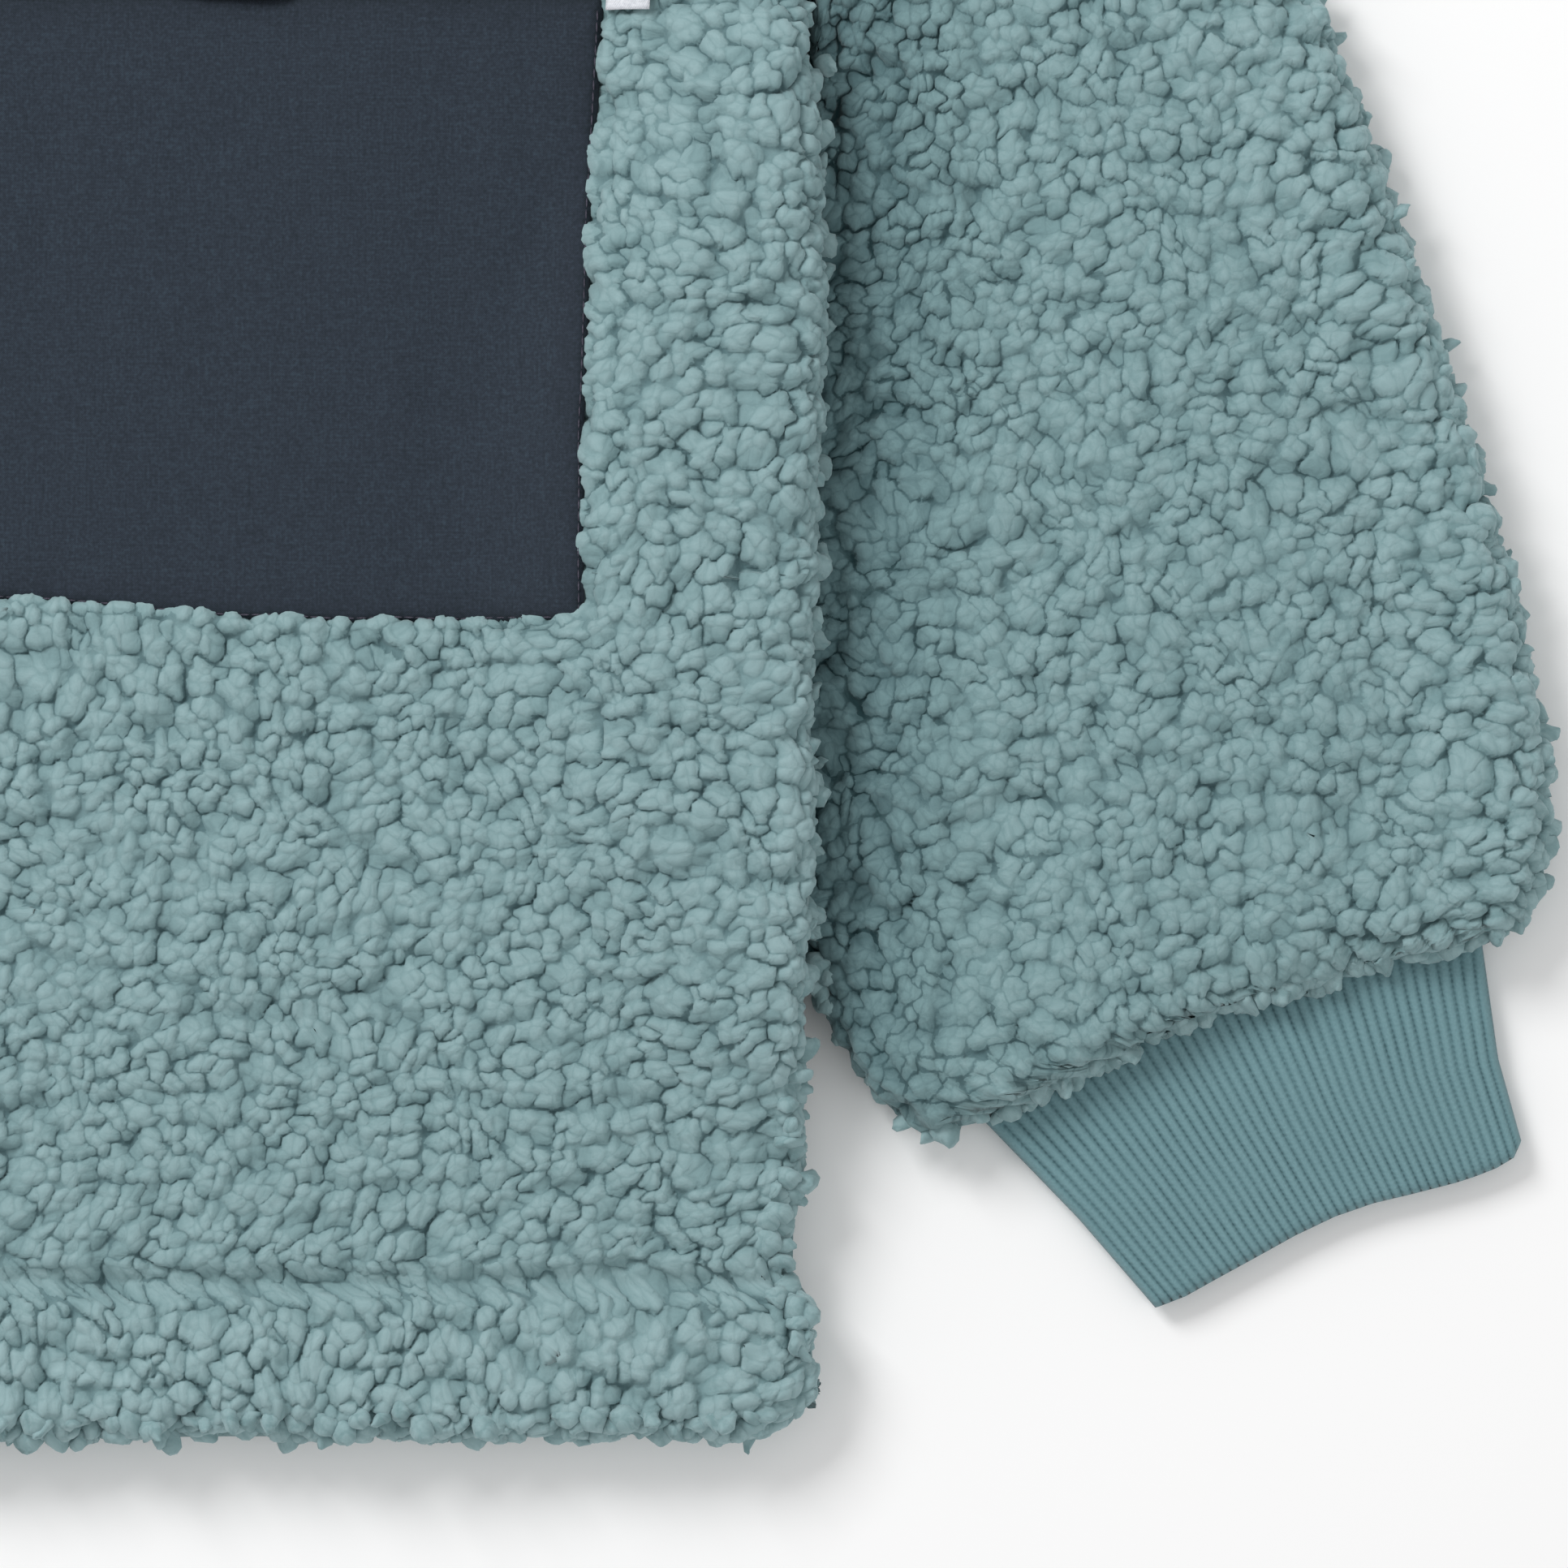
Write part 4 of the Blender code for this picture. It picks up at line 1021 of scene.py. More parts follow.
back_rows = np.concatenate([
    edge_steps(ROLL, BACK_STEP), spaced(ROLL, SHOULDER_UP, BACK_STEP)[1:], shoulder_rows[1:],
])
x = np.stack([back_columns(value) for value in back_rows])
up = np.repeat(back_rows[:, None], x.shape[1], axis=1)
y = panel_y(x, up, BACK_DROP)
z = lift(x, y) + (PILE - EDGE) * (1.0 - fullness(x, y, up, BACK_DROP, False))
form = smooth_grid(np.stack([x, y, z], axis=-1), 2)[:, ::-1]
back_curls = np.stack([arc_of(side(up) - x, ROLL), arc_of(up, ROLL)], axis=-1)[:, ::-1] / BACK_CURL
near_edge = np.minimum(side(up) - np.abs(x), y - hem_corner(x))[:, ::-1]
under, cloth = add_curls(form, back_curls, np.interp(near_edge, *BACK_DEPTH), 71, PRESSED_TOP)
above_floor(under)
rows = np.linspace(0.0, TIP_UP, 26)
half = np.array([1.0, 0.95, 0.88, 0.8, 0.6, 0.3])
shares = np.concatenate([half, [0.0], -half[::-1]])
low_x, low_y = low_grid(rows, [shares * (float(side(value)) - 0.8) for value in rows], BACK_DROP, 0.8, 0.5)
over = np.stack([low_x, low_y, lift(low_x, low_y) + PILE], axis=-1)
back = shell("back_pile", under, cloth, over, 1.0, pile_body, ("back",))

# %% [markdown]
# ## Sleeves
# A sleeve is one tube, pressed flat. Its grid starts below the inner fold, goes over the top
# and ends below the outer fold, so both folds are made of the same curls. At the cuff the
# pile rolls over the seam, and at the armhole it turns down into it.

# %% sleeve form
SECTIONS = len(SLEEVE["outer_x"]) - 1
SLEEVE_SPLIT = 2.15
END_ROLL, END_DROP, FLUFF = 3.4, 3.2, 34.0
SLEEVE_CURL, LOW_COLUMNS = 5.7, 44
SLEEVE_DEPTH, LOW_DEPTH = 3.2, 2.4
CUFF_TOP, TUCKED_TOP, TUCKED_LOW, TUCKED_BACK = 5.2, 4.9, 1.2, 5.0
BODY_SHADE = 2.3


def between_folds(places, level, t):
    """Point between a table's inner and outer line; a level counts its rows."""
    def at(column):
        return np.interp(level, np.arange(len(places[column])), places[column])

    return [mix(at("inner_" + axis), at("outer_" + axis), t) for axis in "xy"]


def sleeve_at(section, t):
    """Point of the flat sleeve: section 0 is the armhole, t runs from inner to outer fold."""
    x, y = between_folds(SLEEVE, section, t)
    up = mix(SLEEVE["inner_y"][0], SLEEVE["outer_y"][0], t)
    armhole = side(np.minimum(up, TIP_UP)) + 0.8 - mix(SLEEVE["inner_x"][0], SLEEVE["outer_x"][0], t)
    x = x + armhole * soft(1.0 - section / 4.0)
    bow = CUFF["bow"][0] * 4.0 * t * (1.0 - t) * soft((section - SECTIONS + 5.0) / 5.0)
    rise = SLEEVE["outer_y"][-1] - SLEEVE["inner_y"][-1]
    run = SLEEVE["outer_x"][-1] - SLEEVE["inner_x"][-1]
    length = math.hypot(rise, run)
    return x - bow * rise / length, y + bow * run / length


def both_folds(sections):
    """Inner and outer edge of the flat sleeve at some sections."""
    return sleeve_at(sections, np.zeros(len(sections))), sleeve_at(sections, np.ones(len(sections)))


def sleeve_heights(x, y, t):
    """Thickness and middle of a sleeve before its two folds are rounded, and the way to its end."""
    pressed = soft(1.0 - (under_body(x, y) - 3.0) / 26.0)
    thick = mix(SLEEVE_THICK, SLEEVE_PRESSED, pressed)
    end_x, end_y = sleeve_at(np.full(np.shape(t), float(SECTIONS)), t)
    to_end = np.hypot(x - end_x, y - end_y)
    thick = mix(SLEEVE_END, thick, roundness(to_end, 13.0))
    start_x, start_y = sleeve_at(np.zeros(np.shape(t)), t)
    thick = thick * (0.84 + 0.16 * roundness(np.hypot(x - start_x, y - start_y), 8.0))
    middle = mix(CUFF_THICK * 0.5 + 0.2, 0.5 * thick, soft(to_end / 30.0))
    return thick - trough(SLEEVE_FOLDS, x, y) * (1.0 - pressed), middle, to_end


print("sleeve %.0f mm wide at the cuff" % math.dist(sleeve_at(SECTIONS, 0.0), sleeve_at(SECTIONS, 1.0)))


# %% sleeve grids
def sleeve_sections(first, last, step):
    """Sections between two of them, at even steps down the sleeve."""
    fine = np.linspace(first, last, 3000)
    run = run_of(np.stack(sleeve_at(fine, np.full(3000, 0.8)), axis=-1))
    return np.interp(np.linspace(0.0, run[-1], int(round(run[-1] / step)) + 1), run, fine)


def sleeve_grid(sections, step):
    """Shares across the sleeve: up from below the inner fold, over the top, and round again."""
    inner, outer = both_folds(sections)
    across = np.stack([outer[0] - inner[0], outer[1] - inner[1]], axis=-1)
    width = np.linalg.norm(across, axis=1, keepdims=True)
    fold = edge_steps(SLEEVE_ROLL, step)
    flat = np.linspace(0.0, 1.0, int(132.0 / step) + 1)
    near = fold / width
    far = near[:, -1:]
    t = np.concatenate([near[:, ::-1], near[:, 1:], mix(far, 1.0 - far, flat)[:, 1:-1],
                        1.0 - near[:, ::-1], 1.0 - near[:, 1:]], axis=1)
    upper = np.ones(t.shape[1], dtype=bool)
    upper[: len(fold) - 1] = False
    upper[-(len(fold) - 1):] = False
    return t, width, across / width, upper


def end_rows(form, plan, ahead, step):
    """Rows that go on past the sleeve's end, where the pile rolls over the cuff's seam."""
    above = np.clip((form[-1, :, 2] - 3.4) / 6.4, 0.0, 1.0)
    rows, maps = [], []
    for turn in np.linspace(0.0, math.pi / 2, max(4, int(5.5 / step)))[1:]:
        row = form[-1] + ahead * END_ROLL * math.sin(turn)
        row[:, 2] = form[-1, :, 2] - above * END_DROP * (1.0 - math.cos(turn))
        rows.append(row)
        maps.append(plan[-1] + ahead[:, :2] * END_ROLL * turn)
    return np.stack(rows), np.stack(maps)


def sleeve_below(first, last, seed):
    """The side that lies on the table: a coarse grid between the two folds, pressed flat."""
    count = max(6, int(round((last - first) * 5)))
    sections = np.linspace(first, last, count)
    inner, outer = both_folds(sections)
    wide = np.hypot(outer[0] - inner[0], outer[1] - inner[1])[:, None]
    t = mix(SLEEVE_ROLL / wide, 1.0 - SLEEVE_ROLL / wide, np.linspace(0.0, 1.0, LOW_COLUMNS)[None, :])
    x, y = sleeve_at(np.repeat(sections[:, None], LOW_COLUMNS, axis=1), t)
    low = np.stack([x, y, np.zeros_like(x)], axis=-1)[::-1, ::-1]
    low, cloth = add_curls(low, low[..., :2] / SLEEVE_CURL, np.full(x.shape, LOW_DEPTH), seed, PRESSED_TOP)
    above_floor(low)
    return low, cloth


def sleeve_map(form, t, distance, across, upper):
    """The curls' map: the plan itself, let out where the cloth goes round a fold."""
    over_fold = np.where(upper[None, :], -1.0, 1.0) * arc_of(distance, SLEEVE_ROLL)
    let_out = SLEEVE_ROLL * math.pi / 2 + over_fold - (SLEEVE_ROLL - distance)
    let_out = np.where(distance < SLEEVE_ROLL, let_out, 0.0) * np.where(t < 0.5, -1.0, 1.0)
    taken_in = 0.35 * np.clip(FLUFF - distance, 0.0, FLUFF) ** 2 / (2.0 * FLUFF) * (t > 0.5)
    return form[..., :2] + across[:, None, :] * (0.8 * let_out - taken_in)[..., None]


def joined_sides(moved, low):
    """Points and faces of a sleeve's two sides, with a strip along each fold."""
    points = np.concatenate([moved.reshape(-1, 3), low.reshape(-1, 3)])
    start = moved.shape[0] * moved.shape[1]
    top_index = np.arange(start).reshape(moved.shape[:2])
    low_index = start + np.arange(len(points) - start).reshape(low.shape[:2])
    faces = grid_faces(*moved.shape[:2]) + grid_faces(*low.shape[:2], start)
    faces += zipper(points, top_index[:, -1].tolist(), low_index[:, 0].tolist())
    faces += flipped(zipper(points, top_index[:, 0].tolist(), low_index[:, -1].tolist()))
    return points, faces


print("sections of the lower sleeve at 20 mm:", np.round(sleeve_sections(SLEEVE_SPLIT, SECTIONS, 20.0), 1))


# %% sleeves
def make_sleeve(name, sign, first, last, step, seed, replaced=()):
    sections = sleeve_sections(first, last, step)
    t, width, across, upper = sleeve_grid(sections, step)
    x, y = sleeve_at(np.repeat(sections[:, None], t.shape[1], axis=1), t)
    thick, middle, to_end = sleeve_heights(x, y, t)
    distance = np.minimum(t, 1.0 - t) * width
    share = roundness(distance, SLEEVE_ROLL)
    z = np.where(upper[None, :], mix(middle, thick, share), middle * (1.0 - share))
    form = np.stack([x, y, z], axis=-1)
    plan = sleeve_map(form, t, distance, across, upper)
    at_cuff = last == SECTIONS
    if at_cuff:
        ahead = (form[-1] - form[-4]) * np.array([1.0, 1.0, 0.0])
        ahead /= np.linalg.norm(ahead, axis=1, keepdims=True)
        rows, maps = end_rows(form, plan, ahead, step)
        form, plan = np.concatenate([form, rows]), np.concatenate([plan, maps])
        distance = np.concatenate([distance, np.repeat(distance[-1:], len(rows), axis=0)])
        to_end = np.concatenate([to_end, np.full((len(rows), t.shape[1]), -1.0)])
    form = smooth_grid(form, 5)[::-1]
    plan, distance, to_end = plan[::-1], distance[::-1], to_end[::-1]
    outer = np.concatenate([t, np.repeat(t[-1:], len(form) - len(t), axis=0)])[::-1] > 0.5
    near_fold = soft((24.0 - distance) / 18.0) + 0.9 * outer * soft((FLUFF - distance) / 20.0)
    depth = SLEEVE_DEPTH + 0.9 * near_fold + 1.2 * soft((18.0 - to_end) / 14.0)
    moved, cloth = add_curls(form, plan / SLEEVE_CURL, depth, seed)
    # painted light: the outer fold is made a little lighter in colour
    cloth[..., 3] += FOLD_PAINTED_LIGHT * outer * soft((FLUFF - distance) / 10.0)
    above_floor(moved)
    on_cuff = (to_end < 0.0) & upper[None, :]
    moved[..., 2] = np.where(on_cuff, np.maximum(moved[..., 2], CUFF_TOP), moved[..., 2])
    if at_cuff:
        # a last row tucks the pile in below itself, on the cuff
        back_in = moved[0] - ahead * TUCKED_BACK
        back_in[:, 2] = np.where(upper, TUCKED_TOP, TUCKED_LOW)
        moved = np.concatenate([back_in[None], moved])
        form, cloth = (np.concatenate([grid[:1], grid]) for grid in (form, cloth))
    # close beside the body the pile lies in its shade
    beside = np.clip(form[..., 0] - side(form[..., 1]), 0.0, 99.0) + 99.0 * (form[..., 1] > 300.0)
    cloth[..., 3] -= BODY_SHADE * (0.85 * soft(1.0 - (beside - 4.0) / 36.0))
    low, low_cloth = sleeve_below(first, last, seed + 20)
    if sign < 0:
        moved, low = mirrored(moved), mirrored(low)
    points, faces = joined_sides(moved, low)
    cloth = np.concatenate([cloth.reshape(-1, 4), low_cloth.reshape(-1, 4)])
    return pile_piece(name, points, faces, cloth, pile_sleeve, sign, replaced)


sleeve_left = make_sleeve("sleeve_left_pile", 1.0, SLEEVE_SPLIT, SECTIONS, step=0.78, seed=23,
                          replaced=("sleeve_left",))
sleeve_top = make_sleeve("sleeve_left_top_pile", 1.0, 0.0, SLEEVE_SPLIT + 0.04, step=1.5, seed=23)
sleeve_right = make_sleeve("sleeve_right_pile", -1.0, 0.0, SECTIONS, step=1.8, seed=29,
                           replaced=("sleeve_right",))

# %% [markdown]
# ## Collar
# The stand collar lies as a flat ring: its front half over its back half, with a round fold
# at each side. One grid goes round the outside and over the top edge, and a plain one lines
# the inside.

# %% collar
COLLAR_CURL, COLLAR_INSET = 4.9, 7.0


def collar_sheet(step_round, step_up, inside):
    """Rows up the collar, columns round it from the left front edge to the right one."""
    flat = np.linspace(CENTRE, NECK - SLEEVE_ROLL, int(60 / step_round) + 1)
    rolled = NECK - edge_steps(SLEEVE_ROLL, step_round)[::-1][1:]
    front = np.concatenate([flat, rolled])
    behind = np.concatenate([front[::-1][1:-5 if inside else None], np.linspace(6.0, 0.0, 5)[1:]])
    across = np.concatenate([front, behind])
    is_back = np.concatenate([np.zeros(len(front), bool), np.ones(len(behind), bool)])
    across = np.concatenate([across, -across[::-1][1:]])
    is_back = np.concatenate([is_back, is_back[::-1][1:]])
    levels = np.linspace(0.0, COLLAR_HEIGHT, int(COLLAR_HEIGHT / step_up) + 1)
    shrink = (NECK - COLLAR_INSET) / NECK if inside else 1.0
    x, level = np.meshgrid(across * shrink, levels)
    thin = 1.0 - roundness(COLLAR_HEIGHT - level, 7.0)
    base = np.where(is_back[None, :], crown(x, BACK_DROP), crown(x, FRONT_DROP)) + 0.7
    if inside:
        z = (0.2 + 2.6 * thin) * (1.0 - 0.4 * (np.abs(across)[None, :] > 72.0))
    else:
        z = (COLLAR_HALF - 3.2 * thin) * roundness(NECK - np.abs(across), SLEEVE_ROLL)[None, :]
    z = COLLAR_HALF + np.where(is_back[None, :], -z, z)
    return np.stack([x, base + level, z], axis=-1), is_back


outer, is_back = collar_sheet(1.15, 1.2, False)
away = np.where(is_back, -1.0, 1.0)[None, :] * roundness(NECK - np.abs(outer[-1:, :, 0]), 6.0)
over = []
for turn in np.linspace(0.0, math.pi * 0.72, 7)[1:]:
    row = outer[-1:].copy()
    row[..., 1] += 2.2 * math.sin(turn)
    row[..., 2] -= away * 2.0 * (1.0 - math.cos(turn))
    over.append(row)
# its columns go round from right to left when seen from above, so they are turned about
outer = np.concatenate([outer] + over)[:, ::-1]
run, climb = run_of(outer[20])[None, :], run_of(outer[:, 30])[:, None]
collar_curls = np.stack(np.broadcast_arrays(run, climb), axis=-1) / COLLAR_CURL
collar_depth = 2.8 + 1.4 * soft((climb - 40.0) / 12.0)
raised, cloth = add_curls(smooth_grid(outer, 3), collar_curls, collar_depth, 83)
above_floor(raised)
inner = collar_sheet(6.0, 9.0, True)[0][:, ::-1]
collar = shell("collar_pile", raised, cloth, inner, 1.0, pile_body, ("collar",), straight=False)

# %% [markdown]
# ## Cuffs
# A cuff is a doubled tube of one-by-one rib: each face has 43 ribs, and the cloth turns over
# at the opening and runs back up inside. The knit's own stitches are in the bump.

# %% rib knit
CUFF_RIBS, RIB_STEPS = 43, 6
RIB_DEEP, CUFF_LOW, CUFF_START = 0.50, 0.05, -0.16
OPENING = table(
    ("share", "bow"),
    (0, 0), (0.08, -0.3), (0.18, 0.4), (0.29, 1.1), (0.39, 1.8), (0.5, 2.0), (0.6, 1.3), (0.7, -0.2),
    (0.81, -1.7), (0.86, -2.1), (0.915, -2.3), (0.965, -1.8), (1, 0.6),
)
TURNED_BACK = table(("level", "gap"), (1.97, 1.1), (1.9, 0.75), (1.6, 0.5), (1.2, 0.45))


def knit_finish():
    made, tree, shader = shader_of("rib_knit", 0.95, 0.15, sheen=0.15)
    spots = node(tree, "ShaderNodeUVMap", uv_map="cloth").outputs["UV"]
    parts = node(tree, "ShaderNodeSeparateXYZ", spots).outputs
    # one stitch column for each rib: legs of a V, leaning to both sides of its middle
    from_middle = math_of(tree, "PINGPONG", math_of(tree, "FRACT", parts["X"]), 0.5)
    slanted = weigh(tree, from_middle, -1.5, parts["Y"])
    legs = math_of(tree, "SINE", weigh(tree, slanted, TURN, 0.0))
    place = object_place(tree)[0]
    fuzz = noise_of(tree, place, 1800.0, 3.0)["Fac"]
    broad = noise_of(tree, place, 60.0, 2.0)["Fac"]
    rib = mark_of(tree, "rib")
    dots = math_of(tree, "MULTIPLY", weigh(tree, rib, -1.0, 1.0), legs)
    # painted shade: the grooves between the ribs are darker in colour than the rib tops
    shade = shade_of(tree, 0.03, (dots, 0.10), (rib, 0.50), (fuzz, 0.36), (broad, 0.12))
    coloured(tree, shader, shade, (0.12, srgb(54, 82, 88)), (0.55, srgb(98, 131, 137)),
             (0.95, srgb(120, 154, 160)))
    bumps(tree, shader, (legs, 0.12, 0.0001), (fuzz, 0.5, 0.0002))
    return made


knit = knit_finish()
print("knit of %d ribs a face" % CUFF_RIBS)


# %% cuffs
def cuff_at(level, t):
    """Point of a cuff's face and the width there; levels run from 0 at its seam to 2 at its opening."""
    index = np.arange(3)
    x, y = between_folds(CUFF, level, t)
    run = np.interp(level, index, CUFF["outer_x"] - CUFF["inner_x"])
    rise = np.interp(level, index, CUFF["outer_y"] - CUFF["inner_y"])
    length = np.hypot(run, rise)
    even = 4.0 * t * (1.0 - t)
    bow = np.interp(level, index, CUFF["bow"]) * even
    bow = mix(bow, np.interp(t, OPENING["share"], OPENING["bow"]), soft(level - 1.0))
    # below level 0 the cuff goes on straight into the sleeve
    inside = np.clip(level, -1.0, 0.0)
    seam, second = between_folds(CUFF, 0, t), between_folds(CUFF, 1, t)
    x = x + inside * (second[0] - seam[0])
    y = y + inside * (second[1] - seam[1])
    return x - bow * rise / length, y + bow * run / length, length


def make_cuff(name, sign, rows, seed, replaced):
    steps = CUFF_RIBS * RIB_STEPS
    ring = np.arange(2 * steps)
    t = np.where(ring <= steps, ring / steps, 2.0 - ring / steps)
    face = np.where(ring > steps, -1.0, 1.0)
    grid_t, grid_level = np.meshgrid(t, np.linspace(CUFF_START, 2.0, rows))
    x, y, length = cuff_at(grid_level, grid_t)
    wander = 0.35 * swell_of(grid_t * 9.0, grid_level * 2.2, seed)
    phase = grid_t * CUFF_RIBS + wander * 0.25
    rib = np.clip(0.66 - 0.66 * np.cos(2.0 * math.pi * phase), 0.0, 1.0) ** 0.42
    share = roundness(np.minimum(grid_t, 1.0 - grid_t) * length, 3.4)
    closing = roundness(1.0 - np.clip((grid_level - 1.9) / 0.1, 0.0, 1.0) * 0.75, 1.0)
    half = CUFF_THICK * 0.5 * closing
    wave = 0.22 * swell_of(grid_t * 5.0, grid_level * 1.1, seed + 1)
    z = CUFF_THICK * 0.5 + face * np.maximum(half - RIB_DEEP * (1.0 - rib) + wave - 0.2, 0.3) * share
    outer = np.stack([x, y, np.maximum(z, CUFF_LOW)], axis=-1)
    # single ribs reach a little further or less far at the opening
    lean = 0.30 * swell_of(grid_t * 22.0, 3.3, seed + 2) * soft(grid_level - 1.0)
    out_x, out_y = cuff_at(grid_level + 0.04, grid_t)[:2]
    outer[..., 0] += (out_x - x) * lean
    outer[..., 1] += (out_y - y) * lean
    edge = CUFF_WALL / length[-1, 0]
    inner = []
    for level, gap in zip(*TURNED_BACK.values()):
        in_x, in_y = cuff_at(np.full(len(t), level), mix(edge, 1.0 - edge, t))[:2]
        in_z = CUFF_THICK * 0.5 + face * gap * roundness(np.minimum(t, 1.0 - t), 0.04)
        inner.append(np.stack([in_x, in_y, in_z], axis=-1))
    points = np.concatenate([outer, np.stack(inner)])
    if sign < 0:
        points = mirrored(points)
    faces = ring_faces(len(points), len(t))
    if sign > 0:
        faces = flipped(faces)
    ribs = np.concatenate([rib, np.full((4, len(t)), 0.4)])
    rows_up = np.concatenate([np.linspace(0.0, 44.0, rows), 46.0 + np.arange(4) * 4.0])
    phases = np.concatenate([phase, np.repeat(phase[-1:], 4, axis=0)])
    spots = np.stack(np.broadcast_arrays(phases, rows_up[:, None]), axis=-1)
    return mesh_object(name, points.reshape(-1, 3), faces, knit, replaced=replaced,
                       marks={"rib": ribs}, spots=spots.reshape(-1, 2))


cuff_left = make_cuff("cuff_left_knit", 1.0, 36, 5, ("cuff_left",))
cuff_right = make_cuff("cuff_right_knit", -1.0, 26, 9, ("cuff_right",))

# %% [markdown]
# ## Pocket
# The pocket is plain woven cloth that lies on the pressed pile. Its turned-in edges sink
# between the curls, it puckers a little along its seams, and it has a few long soft creases
# from lying folded.

# %% woven cloth
POCKET_CREASES = table(
    ("x1", "y1", "x2", "y2", "half", "deep"),
    (50, 262, 61, 249, 3.0, 0.5), (62, 240, 74, 222, 3.5, 0.45), (64, 284, 63, 196, 5.0, 0.3),
    (144, 280, 141, 205, 6.0, 0.5), (141, 205, 136, 172, 5.0, 0.35), (92, 250, 100, 205, 9.0, 0.3),
    (112, 226, 128, 214, 5.0, 0.25), (158, 268, 163, 226, 4.0, 0.35), (40, 205, 52, 180, 5.0, 0.3),
)
PATCH_FOOT, PATCH_STEP = POCKET_FOOT - 0.6, 1.0
PATCH_SEED, STRIP_SEED = 31, 37
# threads that thicken along the warp and along the weft
SLUB_STRETCHES = ((120.0, 2400.0, 600.0), (2400.0, 120.0, 600.0))


def woven_finish(name, dark, thread, fleck_colour, light, roughness, pitch):
    made, tree, shader = shader_of(name, roughness, 0.3, sheen=0.06)
    place, parts = object_place(tree)
    warp = math_of(tree, "SINE", weigh(tree, parts["X"], TURN / pitch, 0.0))
    weft = math_of(tree, "SINE", weigh(tree, parts["Y"], TURN / pitch, 0.0))
    cross = math_of(tree, "MULTIPLY", warp, weft)
    slubs = []
    for stretch in SLUB_STRETCHES:
        spread = node(tree, "ShaderNodeVectorMath", place, stretch, operation="MULTIPLY")
        slubs.append(noise_of(tree, spread.outputs[0], 1.0, 3.0)["Fac"])
    fleck = noise_of(tree, place, 1500.0, 2.0)["Fac"]
    # painted shade: the cloth is darker close to its edges, where they sink between the curls
    shade = shade_of(tree, -0.42, (cross, 0.10), (slubs[0], 0.34), (slubs[1], 0.34), (fleck, 0.75),
                     (mark_of(tree, "edge"), 0.36))
    coloured(tree, shader, shade, (0.05, dark), (0.42, thread), (0.62, fleck_colour), (0.95, light))
    bumps(tree, shader, (cross, 0.35, 0.00012), *((slub, 0.25, 0.0002) for slub in slubs))
    return made


poplin = woven_finish("pocket_cloth", srgb(13, 18, 25), srgb(30, 40, 49), srgb(38, 46, 57), srgb(50, 64, 76),
                      0.9, 0.00044)
print("woven cloth with %d creases" % len(POCKET_CREASES["x1"]))


# %% pocket
def patch_form(x, up, low_up, high_up, seed, creases):
    """Top of the pocket cloth at some places, the height of its bed, and the way to its nearest edge."""
    y = panel_y(x, up, FRONT_DROP)
    ground = lift(x, y) + PILE + LAYER
    bed = ground + EDGE + (POCKET_BED - EDGE) * fullness(x, y, up, FRONT_DROP, True)
    beside = np.minimum(x - POCKET_SIDE, pocket_line(up) - x)
    edge = np.minimum(np.minimum(beside, up - low_up), high_up - up)
    puff = roundness(edge, 3.2) * (0.75 + 0.25 * roundness(edge, 12.0))
    along = np.where(beside < up - low_up, y, x)
    pucker = 0.20 * swell_of(along / 7.0, edge / 30.0, seed) * np.exp(-edge / 7.0) * soft(edge / 2.0)
    soft_swell = 0.22 * swell_of(x / 31.0, y / 37.0, seed + 1) * soft(edge / 12.0)
    top = bed + 0.9 + 1.5 * puff + pucker + soft_swell
    if creases:
        top = top - trough(POCKET_CREASES, x, y) * soft(edge / 4.0)
    corner = np.hypot(pocket_line(up) - x, up - low_up)
    top = top - 1.4 * np.exp(-((corner / 7.0) ** 2))
    wobble = 0.35 * swell_of(along / 11.0, 0.0, seed + 2) * (1.0 - soft(edge / 3.0))
    return np.stack([x + wobble, y + wobble, top], axis=-1), bed, edge


def some_of(count, step):
    """Every so many of a row's places, and always the last."""
    return np.unique(np.append(np.arange(0, count, step), count - 1))


def patch_cloth(name, low_up, high_up, seed, creases, replaced):
    """Thin shell of pocket cloth between two heights, on the front's own form."""
    ups = spaced(low_up, high_up, PATCH_STEP)
    shares = np.linspace(0.0, 1.0, int(144.0 / PATCH_STEP) + 1)
    up = np.repeat(ups[:, None], len(shares), axis=1)
    x = np.stack([mix(POCKET_SIDE, float(pocket_line(value)), shares) for value in ups])
    form, bed, edge = patch_form(x, up, low_up, high_up, seed, creases)
    chosen = np.ix_(some_of(len(ups), max(1, len(ups) // 12)), some_of(len(shares), 8))
    low = form[chosen].copy()
    low[..., 2] = bed[chosen] + 0.35
    points, faces = closed_shell(form, low)
    # painted shade near the edge: this mark is low at the cloth's edge and high inside it
    near = 0.7 * soft(edge / 2.6) + 0.3 * soft(edge / 9.0)
    marks = {"edge": np.concatenate([near.ravel(), np.zeros(low.shape[0] * low.shape[1])])}
    return mesh_object(name, points, faces, poplin, replaced=replaced, marks=marks)


pocket = patch_cloth("pocket_cloth", PATCH_FOOT, POCKET_MOUTH, PATCH_SEED, True, ("pocket",))
yoke = patch_cloth("pocket_yoke_cloth", POCKET_YOKE, POCKET_TOP, STRIP_SEED, False, ("pocket_yoke",))

# %% [markdown]
# ## Tufts
# Where the pile turns over a fold, single locks of it stand out from the edge as rounded or
# pointed lobes. They are scattered on lines along the folds. Geometry Nodes put one small
# bent lock on each point, lean it by the point's own direction, and join them all to one mesh.

# %% one lock on each point
def parts_of_place(tree):
    """X, Y and Z of a mesh's points."""
    return node(tree, "ShaderNodeSeparateXYZ", node(tree, "GeometryNodeInputPosition").outputs[0]).outputs


def aim_of(tree):
    """Direction kept on each point."""
    return node(tree, "GeometryNodeInputNamedAttribute", data_type="FLOAT_VECTOR", Name="aim").outputs[0]


